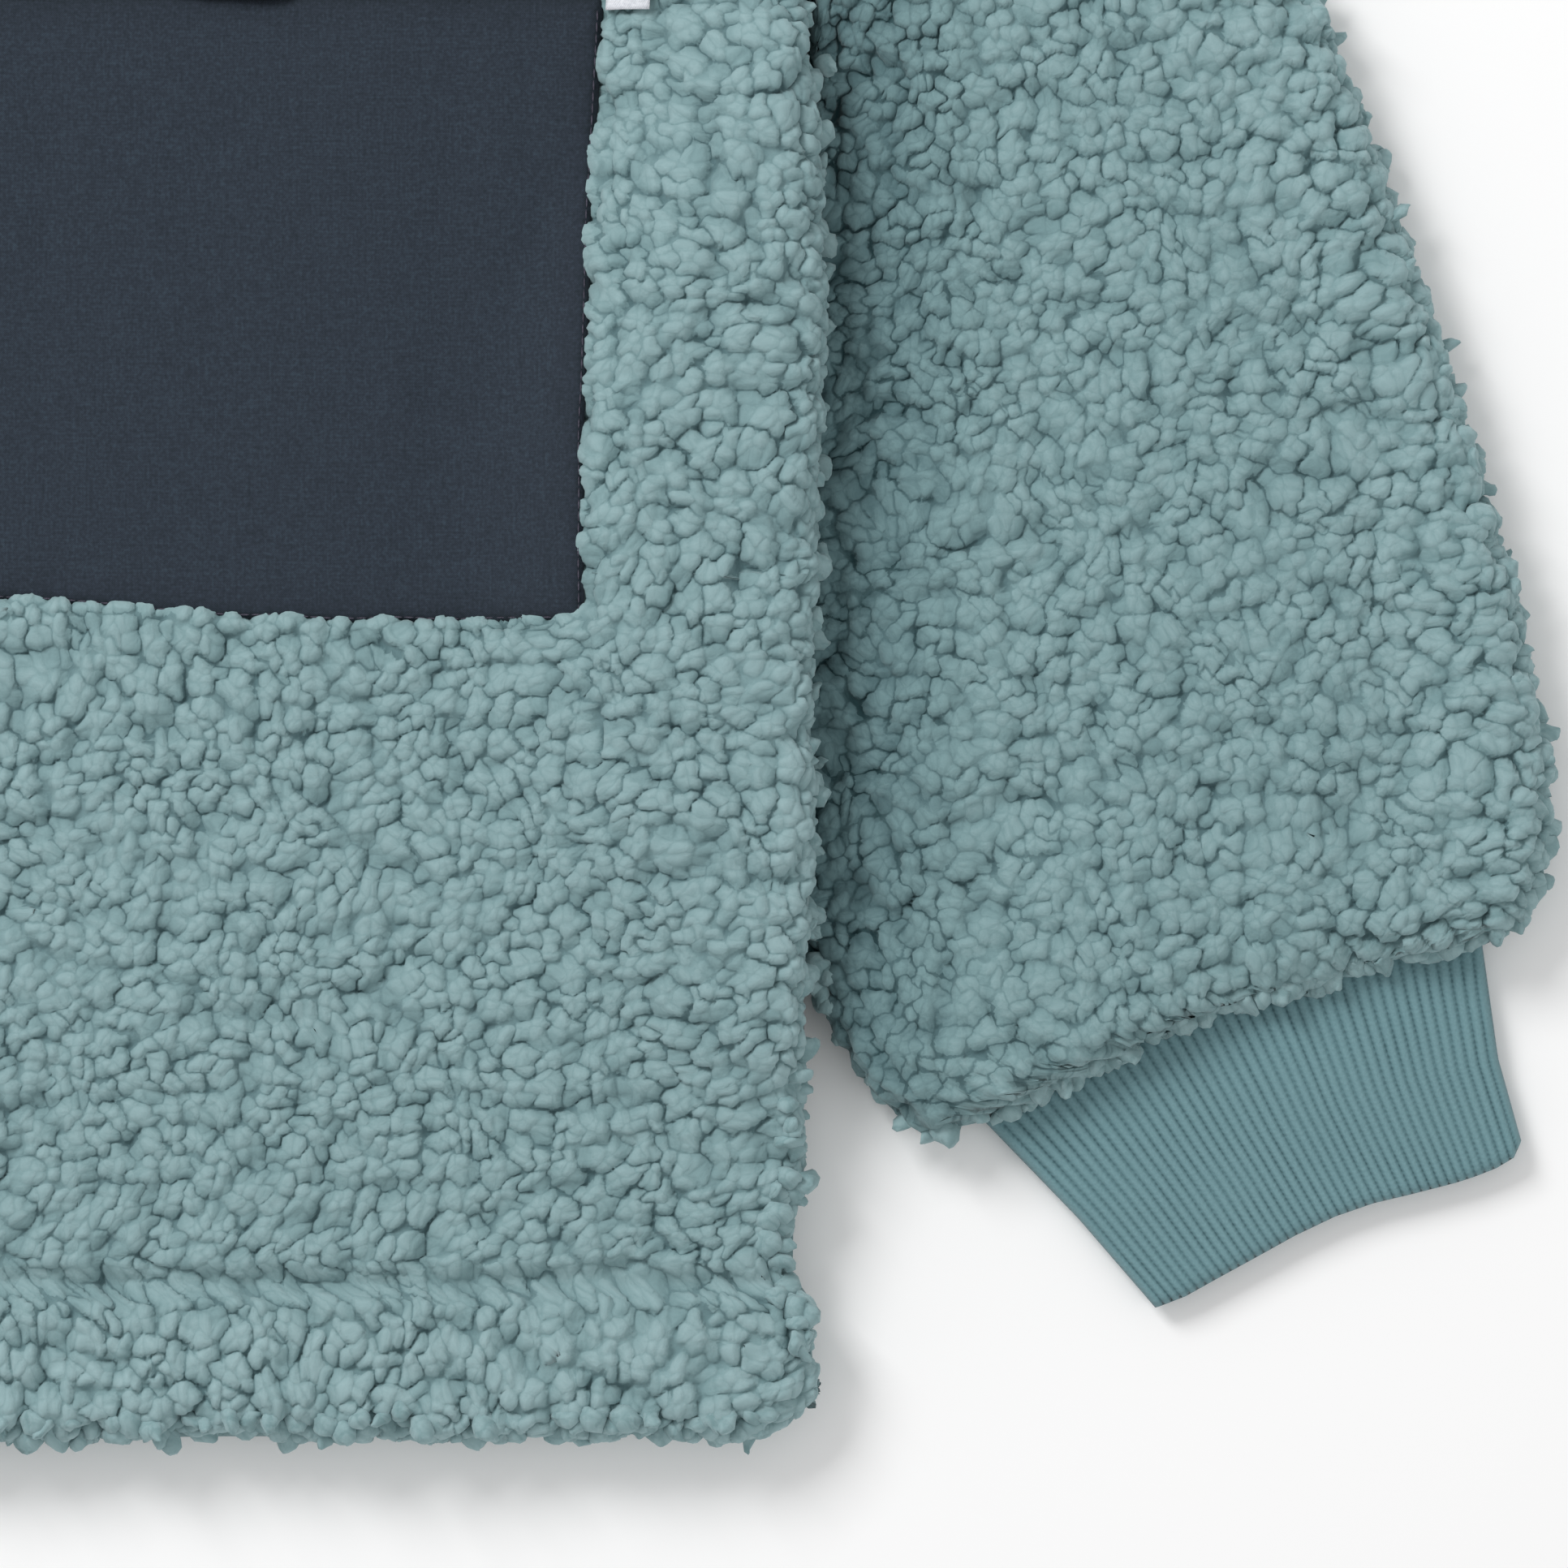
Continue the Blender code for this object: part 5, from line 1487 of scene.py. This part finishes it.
def lock_tree(finish):
    """Tree that grows one lock of pile on each point of a mesh."""
    tree, entry = new_tree("locks", Width=0.0018, Length=0.0034, Bend=0.3, Taper=0.16, Seed=4)

    def times(*values):
        return math_of(tree, "MULTIPLY", *values)

    # a ball is drawn out along z, narrowed to its tip and bent to one side
    ball = node(tree, "GeometryNodeMeshUVSphere", Segments=10, Rings=7, Radius=1.0)
    parts = parts_of_place(tree)
    high = math_of(tree, "ADD", parts["Z"], 0.6)
    slim = math_of(tree, "SUBTRACT", 1.0, times(high, entry["Taper"]))
    raised = math_of(tree, "POWER", math_of(tree, "MAXIMUM", high, 0.0), 2.0)
    curve = times(times(raised, entry["Bend"]), entry["Width"])
    wide, deep = (times(times(parts[axis], slim), entry["Width"]) for axis in "XY")
    lock = node(tree, "ShaderNodeCombineXYZ", math_of(tree, "ADD", wide, curve), deep,
                times(high, entry["Length"]))
    shaped = node(tree, "GeometryNodeSetPosition", Geometry=ball.outputs["Mesh"], Position=lock.outputs[0])

    turned = node(tree, "FunctionNodeAlignRotationToVector", axis="Z", Vector=aim_of(tree))
    size = node(tree, "FunctionNodeRandomValue", data_type="FLOAT_VECTOR", Seed=entry["Seed"])
    size.inputs[0].default_value = (0.6, 0.55, 0.55)
    size.inputs[1].default_value = (1.3, 1.2, 1.3)
    spin = node(tree, "FunctionNodeRandomValue", data_type="FLOAT", Seed=entry["Seed"])
    spin.inputs[2].default_value = 0.0
    spin.inputs[3].default_value = 6.283
    about = node(tree, "FunctionNodeAxisAngleToRotation", Axis=(0.0, 0.0, 1.0), Angle=spin.outputs[1])
    whirl = node(tree, "FunctionNodeRotateRotation", turned.outputs[0], about.outputs[0],
                 rotation_space="LOCAL")
    grown = node(tree, "GeometryNodeInstanceOnPoints", Points=entry["Geometry"], Instance=shaped.outputs[0],
                 Rotation=whirl.outputs[0], Scale=size.outputs[0])
    real = node(tree, "GeometryNodeRealizeInstances", grown.outputs[0])

    # knobs: each point is moved by a noise of its own place, so that no two locks are alike
    spread = node(tree, "GeometryNodeInputPosition").outputs[0]
    rough = node(tree, "ShaderNodeTexNoise", Scale=330.0, Detail=2.0, Vector=spread).outputs["Color"]
    centred = node(tree, "ShaderNodeVectorMath", rough, (0.5, 0.5, 0.5), operation="SUBTRACT")
    sized = node(tree, "ShaderNodeVectorMath", centred.outputs[0], operation="SCALE", Scale=0.0034)
    knobby = node(tree, "GeometryNodeSetPosition", Geometry=real.outputs[0], Offset=sized.outputs[0])

    # the pile's material reads this map and these marks; the second mark paints the locks lighter, as painted
    # light
    where = parts_of_place(tree)
    rise = times(where["Z"], 0.7)
    spot = node(tree, "ShaderNodeCombineXYZ", times(math_of(tree, "ADD", where["X"], rise), 140.0),
                times(math_of(tree, "SUBTRACT", where["Y"], rise), 140.0))
    marked = keep_marks(tree, knobby.outputs[0], ("cloth", "FLOAT2", "CORNER", spot.outputs[0]),
                        ("opened", "FLOAT", "POINT", 0.15), ("painted_light_and_shade", "FLOAT", "POINT", 1.5))
    return end_tree(tree, node(tree, "GeometryNodeSetShadeSmooth", marked).outputs[0], finish)


def grow(name, points, aims, tree, finish, slot_name, replaced=(), **sizes):
    """Runs a tree on garment points in millimetres, and keeps its result as one plain mesh."""
    mesh = run_tree(tree, in_metres(points), aims, **sizes)
    mesh.name = name
    if not mesh.materials:
        mesh.materials.append(finish)
    mesh.calc_loop_triangles()
    print("%-22s %7d triangles from %d points" % (name, len(mesh.loop_triangles), len(points)))
    return add_piece(name, mesh, "jacket", replaced)


locks = lock_tree(pile_sleeve)
print("lock tree of %d nodes" % len(locks.nodes))

# %% lines along the folds
LOCK_REST, LOCK_GAP = 4.2, 10.0


def fold_points(lines, seed, spread=1.0):
    """Points and directions for locks: each line is a path, its outward way, heights, reach and spacing."""
    chance = np.random.default_rng(seed)
    spots, aims = [], []
    for path, outward, low, high, back_in, spacing in lines:
        run = run_of(path)
        spacing = spacing * spread
        at = np.arange(spacing * 0.5, run[-1], spacing)
        at = at + chance.uniform(-0.45, 0.45, len(at)) * spacing
        out = np.stack([np.interp(at, run, outward[:, axis]) for axis in (0, 1)], axis=-1)
        out /= np.linalg.norm(out, axis=1, keepdims=True)
        where = np.stack([np.interp(at, run, path[:, axis]) for axis in (0, 1)], axis=-1)
        where = where - out * (back_in + chance.uniform(-0.9, 0.9, len(at)))[:, None]
        height = chance.uniform(low, high, len(at))
        lean = np.stack([-out[:, 1], out[:, 0]], axis=-1) * chance.normal(0.0, 0.42, len(at))[:, None]
        rise = chance.uniform(-0.12, 0.55, len(at))
        spots.append(np.column_stack([where, height]))
        aims.append(np.column_stack([out + lean, rise]))
    return np.concatenate(spots), np.concatenate(aims)


def outward_places(pieces):
    """Places and normals of the steep parts of some pieces, clear of the table."""
    places, ways = [], []
    for piece in pieces:
        count = len(piece.data.vertices) * 3
        place, way = np.empty(count, np.float32), np.empty(count, np.float32)
        piece.data.vertices.foreach_get("co", place)
        piece.data.vertex_normals.foreach_get("vector", way)
        place, way = in_garment(place.reshape(-1, 3)), way.reshape(-1, 3)
        steep = (np.abs(way[:, 2]) < 0.8) & (place[:, 2] > 2.0)
        places.append(place[steep])
        ways.append(way[steep])
    return np.concatenate(places), np.concatenate(ways)


def seated(spots, aims, pieces, sink):
    """Moves each point to the nearest outward place on the pile, and turns its way towards the pile's own."""
    clear = np.abs(spots[:, 0]) > LOCK_GAP
    spots, aims = spots[clear], aims[clear]
    places, ways = outward_places(pieces)
    near = mathutils.kdtree.KDTree(len(places))
    for at, place in enumerate(places):
        near.insert(place, at)
    near.balance()
    found = np.array([near.find(spot)[1] for spot in spots])
    aims = aims / np.linalg.norm(aims, axis=1, keepdims=True) + 0.7 * ways[found]
    spots = places[found] - sink * ways[found]
    spots[:, 2] = np.maximum(spots[:, 2], LOCK_REST)
    aims[:, 2] = np.maximum(aims[:, 2], -0.1)
    return spots, aims


def pairs(x, y):
    return np.stack(np.broadcast_arrays(x, y), axis=-1)


def side_path(sign):
    ups = np.arange(14.0, 288.0, 4.0)
    return pairs(sign * side(ups), ups), pairs(sign, -np.gradient(side(ups), ups))


def hem_path():
    x = np.arange(-208.0, 208.1, 4.0)
    low = hem_corner(x)
    return pairs(x, low), pairs(np.gradient(low, x) * 0.8, -1.0)


def sleeve_path(sign, t, first, last):
    sections = np.arange(first, last + 0.01, 0.1)
    x, y = sleeve_at(sections, np.full(len(sections), t))
    inner, outer = both_folds(sections)
    out = pairs((outer[0] - inner[0]) * sign, outer[1] - inner[1]) * (1.0 if t > 0.5 else -1.0)
    return pairs(x * sign, y), out


def end_path(sign):
    t = np.linspace(0.02, 0.98, 60)
    x, y = sleeve_at(np.full(60, float(SECTIONS)), t)
    before = sleeve_at(np.full(60, SECTIONS - 0.6), t)
    return pairs(x * sign, y), pairs((x - before[0]) * sign, y - before[1])


def shoulder_path(sign):
    x = np.arange(NECK + 6.0, TIP - 4.0, 3.0)
    top = crown(x, FRONT_DROP)
    return pairs(sign * x, top), pairs(-sign * np.gradient(top, x), 1.0)


def armhole_path(sign):
    ups = np.arange(300.0, 448.0, 4.0)
    return pairs(sign * (side(ups) + 0.3), ups), pairs(np.full(len(ups), sign), 0.0)


print("hem path of %d points" % len(hem_path()[0]))

# %% lobes and tufts
SIDES = (1.0, -1.0)
fold_lines = []
for sign in SIDES:
    for low, high, back_in in ((11.0, 15.0, 1.9), (15.0, 19.0, 3.6)):
        fold_lines.append((*side_path(sign), low, high, back_in, 5.4))
    for low, high, back_in in ((3.4, 7.5, 1.9), (7.0, 12.5, 3.6)):
        fold_lines.append((*sleeve_path(sign, 1.0, 0.6, SECTIONS - 0.4), low, high, back_in, 5.2))
    fold_lines.append((*sleeve_path(sign, 0.0, 10.6, SECTIONS - 0.2), 3.5, 9.0, 1.9, 5.2))
    for low, high, back_in in ((6.8, 8.0, 0.2), (8.2, 9.8, 2.2)):
        fold_lines.append((*end_path(sign), low, high, back_in, 4.6))
for low, high, back_in in ((8.5, 12.5, 1.9), (13.0, 17.0, 3.8)):
    fold_lines.append((*hem_path(), low, high, back_in, 5.2))
shoulder_lines = [(*shoulder_path(sign), low, high, 0.4, 4.4)
                  for sign in SIDES for low, high in ((4.2, 5.0), (6.2, 7.6), (8.6, 10.4))]
shoulder_lines += [(*shoulder_path(sign), 10.2, 11.4, 2.4, 4.4) for sign in SIDES]
armhole_lines = [(*armhole_path(sign), 5.0, 7.0, 0.0, 4.4) for sign in SIDES]

wearers = (front_low, front_high, front_other, sleeve_left, sleeve_top, sleeve_right)
fold_spots, fold_aims = seated(*fold_points(fold_lines, seed=77), wearers, sink=1.5)
shoulder_spots, shoulder_aims = fold_points(shoulder_lines, seed=79)
seam_spots, seam_aims = fold_points(armhole_lines, seed=80)
seam_aims = seam_aims * 0.4 + np.array([0.0, 0.0, 1.5])
lobe_spots = np.concatenate([fold_spots, shoulder_spots, seam_spots])
lobe_aims = np.concatenate([fold_aims, shoulder_aims, seam_aims])
grow("fold_lobes", lobe_spots, lobe_aims, locks, pile_sleeve, "sherpa",
     Width=0.0030, Length=0.0025, Bend=0.10, Taper=0.12, Seed=4)
tuft_spots, tuft_aims = seated(*fold_points(fold_lines, seed=78, spread=2.6), wearers, sink=0.8)
grow("fold_tufts", tuft_spots, tuft_aims, locks, pile_sleeve, "sherpa",
     Width=0.0022, Length=0.0023, Bend=0.30, Taper=0.18, Seed=9)

# %% [markdown]
# ## Label
# The flag label is a folded bit of white satin tape, caught in the pocket's outer seam. It
# stands up a little on the pile, and stays bare here.

# %% label
def tape_finish(name, dark, light, pitch, roughness, sheen):
    made, tree, shader = shader_of(name, roughness, 0.3, sheen=sheen)
    place, parts = object_place(tree)
    rows = math_of(tree, "SINE", weigh(tree, parts["Y"], TURN / pitch, 0.0))
    slant = weigh(tree, parts["X"], TURN / (pitch * 1.3), weigh(tree, parts["Y"], 3.1416 / pitch, 0.0))
    weave = math_of(tree, "MULTIPLY", rows, math_of(tree, "SINE", slant))
    thread = noise_of(tree, place, 1400.0, 3.0)["Fac"]
    shade = shade_of(tree, 0.02, (weave, 0.16), (thread, 0.9))
    coloured(tree, shader, shade, (0.25, dark), (0.72, light))
    bumps(tree, shader, (weave, 0.4, 0.00012), (thread, 0.3, 0.0001))
    return made


satin = tape_finish("label_satin", srgb(196, 200, 208), srgb(238, 240, 245), 0.00034, 0.55, 0.2)
zip_cloth = tape_finish("zip_tape_cloth", srgb(24, 29, 36), srgb(52, 60, 70), 0.0007, 0.9, 0.05)


def slab(name, top, thick, finish, replaced):
    """Thin shell below a grid of points whose columns run with x and rows with y."""
    points, faces = closed_shell(top, top - np.array([0.0, 0.0, thick]))
    return mesh_object(name, points, faces, finish, replaced=replaced)


def node_corners(name):
    """A node's box in garment millimetres."""
    return [in_garment(corner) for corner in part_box(name)]


LABEL_REACH = (0.5, 9.2)
low_corner, high_corner = node_corners("label")
label_ups = spaced(low_corner[1] - 0.5, high_corner[1], 0.8)
reach, up = np.meshgrid(np.linspace(*LABEL_REACH, 13), label_ups)
x = pocket_line(up) + reach
y = panel_y(x, up, FRONT_DROP)
ripple = 0.25 * np.sin(up * 0.42) * reach / 9.2 + 0.12 * np.sin(reach * 1.1)
z = lift(x, y) + PILE + LAYER + mix(6.4, 9.4, np.minimum(reach, 4.0) / 4.0) + 1.15 + ripple
slab("label_satin_tape", np.stack([x, y, z], axis=-1), 0.6, satin, ("label",))
print("label %.1f mm wide, %.1f mm long" % (LABEL_REACH[1] - LABEL_REACH[0], label_ups[-1] - label_ups[0]))

# %% [markdown]
# ## Zips
# A moulded zip is a row of small teeth on two narrow tapes. Each tooth is a blunt block with a
# waist, and the teeth of both tapes take turns. One tree sets them along a line.

# %% zip tapes
TAPE_STEP = 1.4


def strip(solid, wave, seed):
    """Tape in a solid's box, a little wavy along its length."""
    low, high = node_corners(solid)
    size = high - low
    across, along = (np.linspace(low[axis], high[axis], max(4, int(size[axis] / TAPE_STEP) + 1))
                     for axis in (0, 1))
    x, y = np.meshgrid(across, along)
    run, aside = (y, x) if size[1] > size[0] else (x, y)
    middle = 0.5 * (aside.min() + aside.max())
    edge = np.clip(np.abs(aside - middle) / (0.5 * (aside.max() - aside.min())), 0.0, 1.0)
    top = high[2] - 0.18 * edge**4 + wave * swell_of(run / 19.0, edge, seed)
    return slab(solid + "_cloth", np.stack([x, y, top], axis=-1), size[2], zip_cloth, (solid,))


for tape in (("pocket_zip_tape", 0.05, 3), ("zip_tape_left", 0.08, 4), ("zip_tape_right", 0.08, 5)):
    strip(*tape)


# %% zip teeth
def moulded(name, dark, light, roughness):
    """Dark moulded plastic with a fine grain and small scuffs on its tops."""
    made, tree, shader = shader_of(name, roughness, 0.45)
    place = object_place(tree)[0]
    coloured(tree, shader, noise_of(tree, place, 160.0, 4.0)["Fac"], (0.35, dark), (0.75, light))
    bumps(tree, shader, (noise_of(tree, place, 900.0, 3.0)["Fac"], 0.25, 0.0001))
    return made


teeth_plastic = moulded("zip_teeth_plastic", srgb(38, 44, 50), srgb(70, 77, 84), 0.42)


def bar_tree(finish):
    """Tree that sets a small bar on each point, turned to its direction: a waisted tooth or a full stitch."""
    tree, entry = new_tree("bars", Length=0.0026, Width=0.0009, Height=0.0014, Waist=1.1)

    def times(*values):
        return math_of(tree, "MULTIPLY", *values)

    rod = node(tree, "GeometryNodeMeshCylinder", Vertices=8, Radius=0.5, Depth=1.0)
    rod.inputs["Side Segments"].default_value = 3
    parts = parts_of_place(tree)
    far = math_of(tree, "SUBTRACT", times(parts["Z"], parts["Z"]), 0.25)
    waist = math_of(tree, "ADD", times(far, entry["Waist"]), 1.0)
    bar = node(tree, "ShaderNodeCombineXYZ", times(parts["X"], entry["Height"]),
               times(times(parts["Y"], waist), entry["Width"]), times(parts["Z"], entry["Length"]))
    shaped = node(tree, "GeometryNodeSetPosition", Geometry=rod.outputs["Mesh"], Position=bar.outputs[0])
    upright = node(tree, "FunctionNodeAlignRotationToVector", axis="X", Vector=(0.0, 0.0, 1.0))
    turned = node(tree, "FunctionNodeAlignRotationToVector", axis="Z", pivot_axis="X",
                  Rotation=upright.outputs[0], Vector=aim_of(tree))
    made = node(tree, "GeometryNodeInstanceOnPoints", Points=entry["Geometry"], Instance=shaped.outputs[0],
                Rotation=turned.outputs[0])
    return end_tree(tree, node(tree, "GeometryNodeRealizeInstances", made.outputs[0]).outputs[0], finish)


def teeth_row(solid, along, pitch, length, tree):
    """Teeth in turns from both sides of a strip's middle line."""
    low, high = node_corners(solid)
    other = 1 - along
    at = np.arange(low[along] + pitch, high[along] - pitch * 0.6, pitch)
    half = 0.5 * (high[other] - low[other])
    turn = np.where(np.arange(len(at)) % 2 == 0, 1.0, -1.0)
    points, aims = np.zeros((len(at), 3)), np.zeros((len(at), 3))
    points[:, along] = at
    points[:, other] = 0.5 * (low[other] + high[other]) + turn * (half - 0.5 * length)
    points[:, 2] = 0.5 * (low[2] + high[2])
    aims[:, other] = turn
    return grow(solid + "_row", points, aims, tree, teeth_plastic, "zip_teeth", (solid,), Length=length * MM,
                Width=pitch * 0.92 * MM, Height=(high[2] - low[2]) * MM, Waist=1.1)


tooth = bar_tree(teeth_plastic)
teeth_row("pocket_zip_teeth", along=0, pitch=1.0, length=2.7, tree=tooth)
teeth_row("zip_teeth", along=1, pitch=1.3, length=3.6, tree=tooth)

# %% [markdown]
# ## Sliders and pulls
# The sliders and pulls are cast metal with a dark bronze enamel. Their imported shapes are
# right as they are, so they stay and get a finish: enamel that is a little rubbed at random,
# with fine casting grain. The pocket's pull is wrapped in a stitched dark tab, and only its
# end shows the metal, as in the photograph.

# %% metal finish
def enamel(name, dark, light, roughness, rubbed):
    made, tree, shader = shader_of(name, roughness, 0.5, 0.75)
    place = object_place(tree)[0]
    wear = noise_of(tree, place, 240.0, 5.0, 0.65)["Fac"]
    coloured(tree, shader, wear, (0.40, dark), (0.58, light), (0.70, rubbed))
    dull = tuned(tree, wear, 0.3, 0.75, roughness + 0.12, roughness - 0.1, "LINEAR")
    put(tree, shader.inputs["Roughness"], dull)
    bumps(tree, shader, (noise_of(tree, place, 700.0, 3.0)["Fac"], 0.2, 0.00008))
    return made


bronze = enamel("bronze_enamel", srgb(48, 42, 38), srgb(92, 80, 68), 0.38, srgb(134, 116, 96))
for name in ("pocket_zip_slider", "zip_slider", "pocket_zip_pull", "zip_pull"):
    slots = frame["nodes"][name].data.materials
    while len(slots) > 1:
        slots.pop()
    slots[0] = bronze
print("bronze on two sliders and two pulls")

# %% stitched tab on a pull
tab_cloth = tape_finish("pull_tab_cloth", srgb(22, 25, 31), srgb(46, 52, 61), 0.0005, 0.85, 0.05)


def pull_tab(name, hinge, turn, start, end, half, body):
    """Rounded sleeve of cloth round a pull's plate, given along the pull from its hinge."""
    along = np.linspace(start, end, 22)
    ring = np.linspace(0.0, 2.0 * math.pi, 25)[:-1]
    closing = roundness(np.minimum(along - start, end - along) + 0.05, 0.8)
    tilt = -math.tan(math.radians(4.0))
    stitch = 1.0 - 0.05 * (np.sin(along * 7.0) > 0.6)
    points = []
    for at, share, sewn in zip(along, closing, stitch):
        aside = np.sign(np.cos(ring)) * np.abs(np.cos(ring)) ** 0.45 * (half + 0.45 * share)
        height = np.sign(np.sin(ring)) * np.abs(np.sin(ring)) ** 0.6 * (0.40 + 0.42 * share) * sewn
        points.append(np.stack([np.full(len(ring), at), aside, height + at * tilt], axis=-1))
    points = np.stack(points)
    rows, columns = points.shape[:2]
    local = np.concatenate([points.reshape(-1, 3), points.mean(axis=1)[[0, -1]]])
    cosine, sine = math.cos(math.radians(turn)), math.sin(math.radians(turn))
    placed = np.stack([hinge[0] + local[:, 0] * cosine - local[:, 1] * sine,
                       hinge[1] + local[:, 0] * sine + local[:, 1] * cosine, hinge[2] + local[:, 2]], axis=-1)
    faces = flipped(ring_faces(rows, columns))
    last = (rows - 1) * columns
    faces += [(step, (step + 1) % columns, rows * columns) for step in range(columns)]
    faces += [(last + (step + 1) % columns, last + step, rows * columns + 1) for step in range(columns)]
    return mesh_object(name, placed, faces, tab_cloth, body=body)


joints = {joint["name"]: joint for joint in frame["record"]["behaviour"]["joints"]}
pocket_hinge = in_garment(joints["pocket_pull_hinge"]["pos_m"])
pull_tab("pocket_pull_tab", pocket_hinge, turn=-5.0, start=6.2, end=15.0, half=2.5, body="pocket_pull")

# %% [markdown]
# ## Stitches
# The pocket is sewn on along its sides and foot. The thread is a purplish grey, a little
# lighter than the cloth, and its stitches show where the curls leave the edge free.

# %% pocket stitches
thread = tape_finish("sewing_thread", srgb(52, 50, 62), srgb(88, 84, 99), 0.0004, 0.8, 0.1)
STITCH, INSET, THREAD_RISE = 2.3, 1.1, 0.08


def on_pocket(x, up):
    return patch_form(x, up, PATCH_FOOT, POCKET_MOUTH, PATCH_SEED, True)[0]


up = np.arange(POCKET_FOOT + 2.0, POCKET_MOUTH - 3.0, STITCH)
foot = np.arange(POCKET_SIDE + 2.0, float(pocket_line(POCKET_FOOT)) - 1.5, STITCH)
across = np.concatenate([np.full(len(up), POCKET_SIDE + INSET), pocket_line(up) - INSET, foot])
height = np.concatenate([up, up, np.full(len(foot), PATCH_FOOT + INSET)])
upwards = np.arange(len(across)) < 2 * len(up)
form = on_pocket(across, height)
ahead = on_pocket(across + np.where(upwards, 0.0, 1.0), height + np.where(upwards, 1.0, 0.0))
form[:, 2] += THREAD_RISE
aims = ahead - form + np.array([0.0, 0.0, THREAD_RISE])
grow("pocket_stitches", form, aims, bar_tree(thread), thread, "pocket_cloth",
     Length=1.9 * MM, Width=0.11 * MM, Height=0.30 * MM, Waist=-8.0)

# %% [markdown]
# ## Cut sizes
# Each cloth piece is listed with the size that it was cut to, as far as it shows, and the
# size is printed. A sleeve and a cuff are given all round. The zip tapes and the flag label
# are narrower than a centimetre, and so are ribbons and not sheets.

# %% what each cloth piece was cut to
for piece, size, area, below in (
    (front_low, (0.209, 0.170), 0.0352, ["back_pile"]),
    (front_high, (0.2105, 0.3265), 0.0589, ["back_pile"]),
    (front_other, (0.2105, 0.4965), 0.0941, ["back_pile"]),
    (back, (0.433, 0.4965), 0.1979, []),
    (collar, (0.352, 0.058), None, ["back_pile"]),
    (cuff_left, (0.209, 0.065), 0.0115, []),
    (cuff_right, (0.209, 0.065), 0.0115, []),
    (pocket, (0.146, 0.124), 0.0178, ["front_left_upper"]),
    (yoke, (0.146, 0.0164), 0.00238, ["front_left_upper"]),
    (sleeve_left, (0.331, 0.254), 0.0721, []),
    (sleeve_top, (0.321, 0.060), 0.0155, []),
    (sleeve_right, (0.331, 0.314), 0.0876, []),
):
    print("%-22s cut %3.0f x %3.0f mm" % (piece.name, size[0] * 1000, size[1] * 1000))
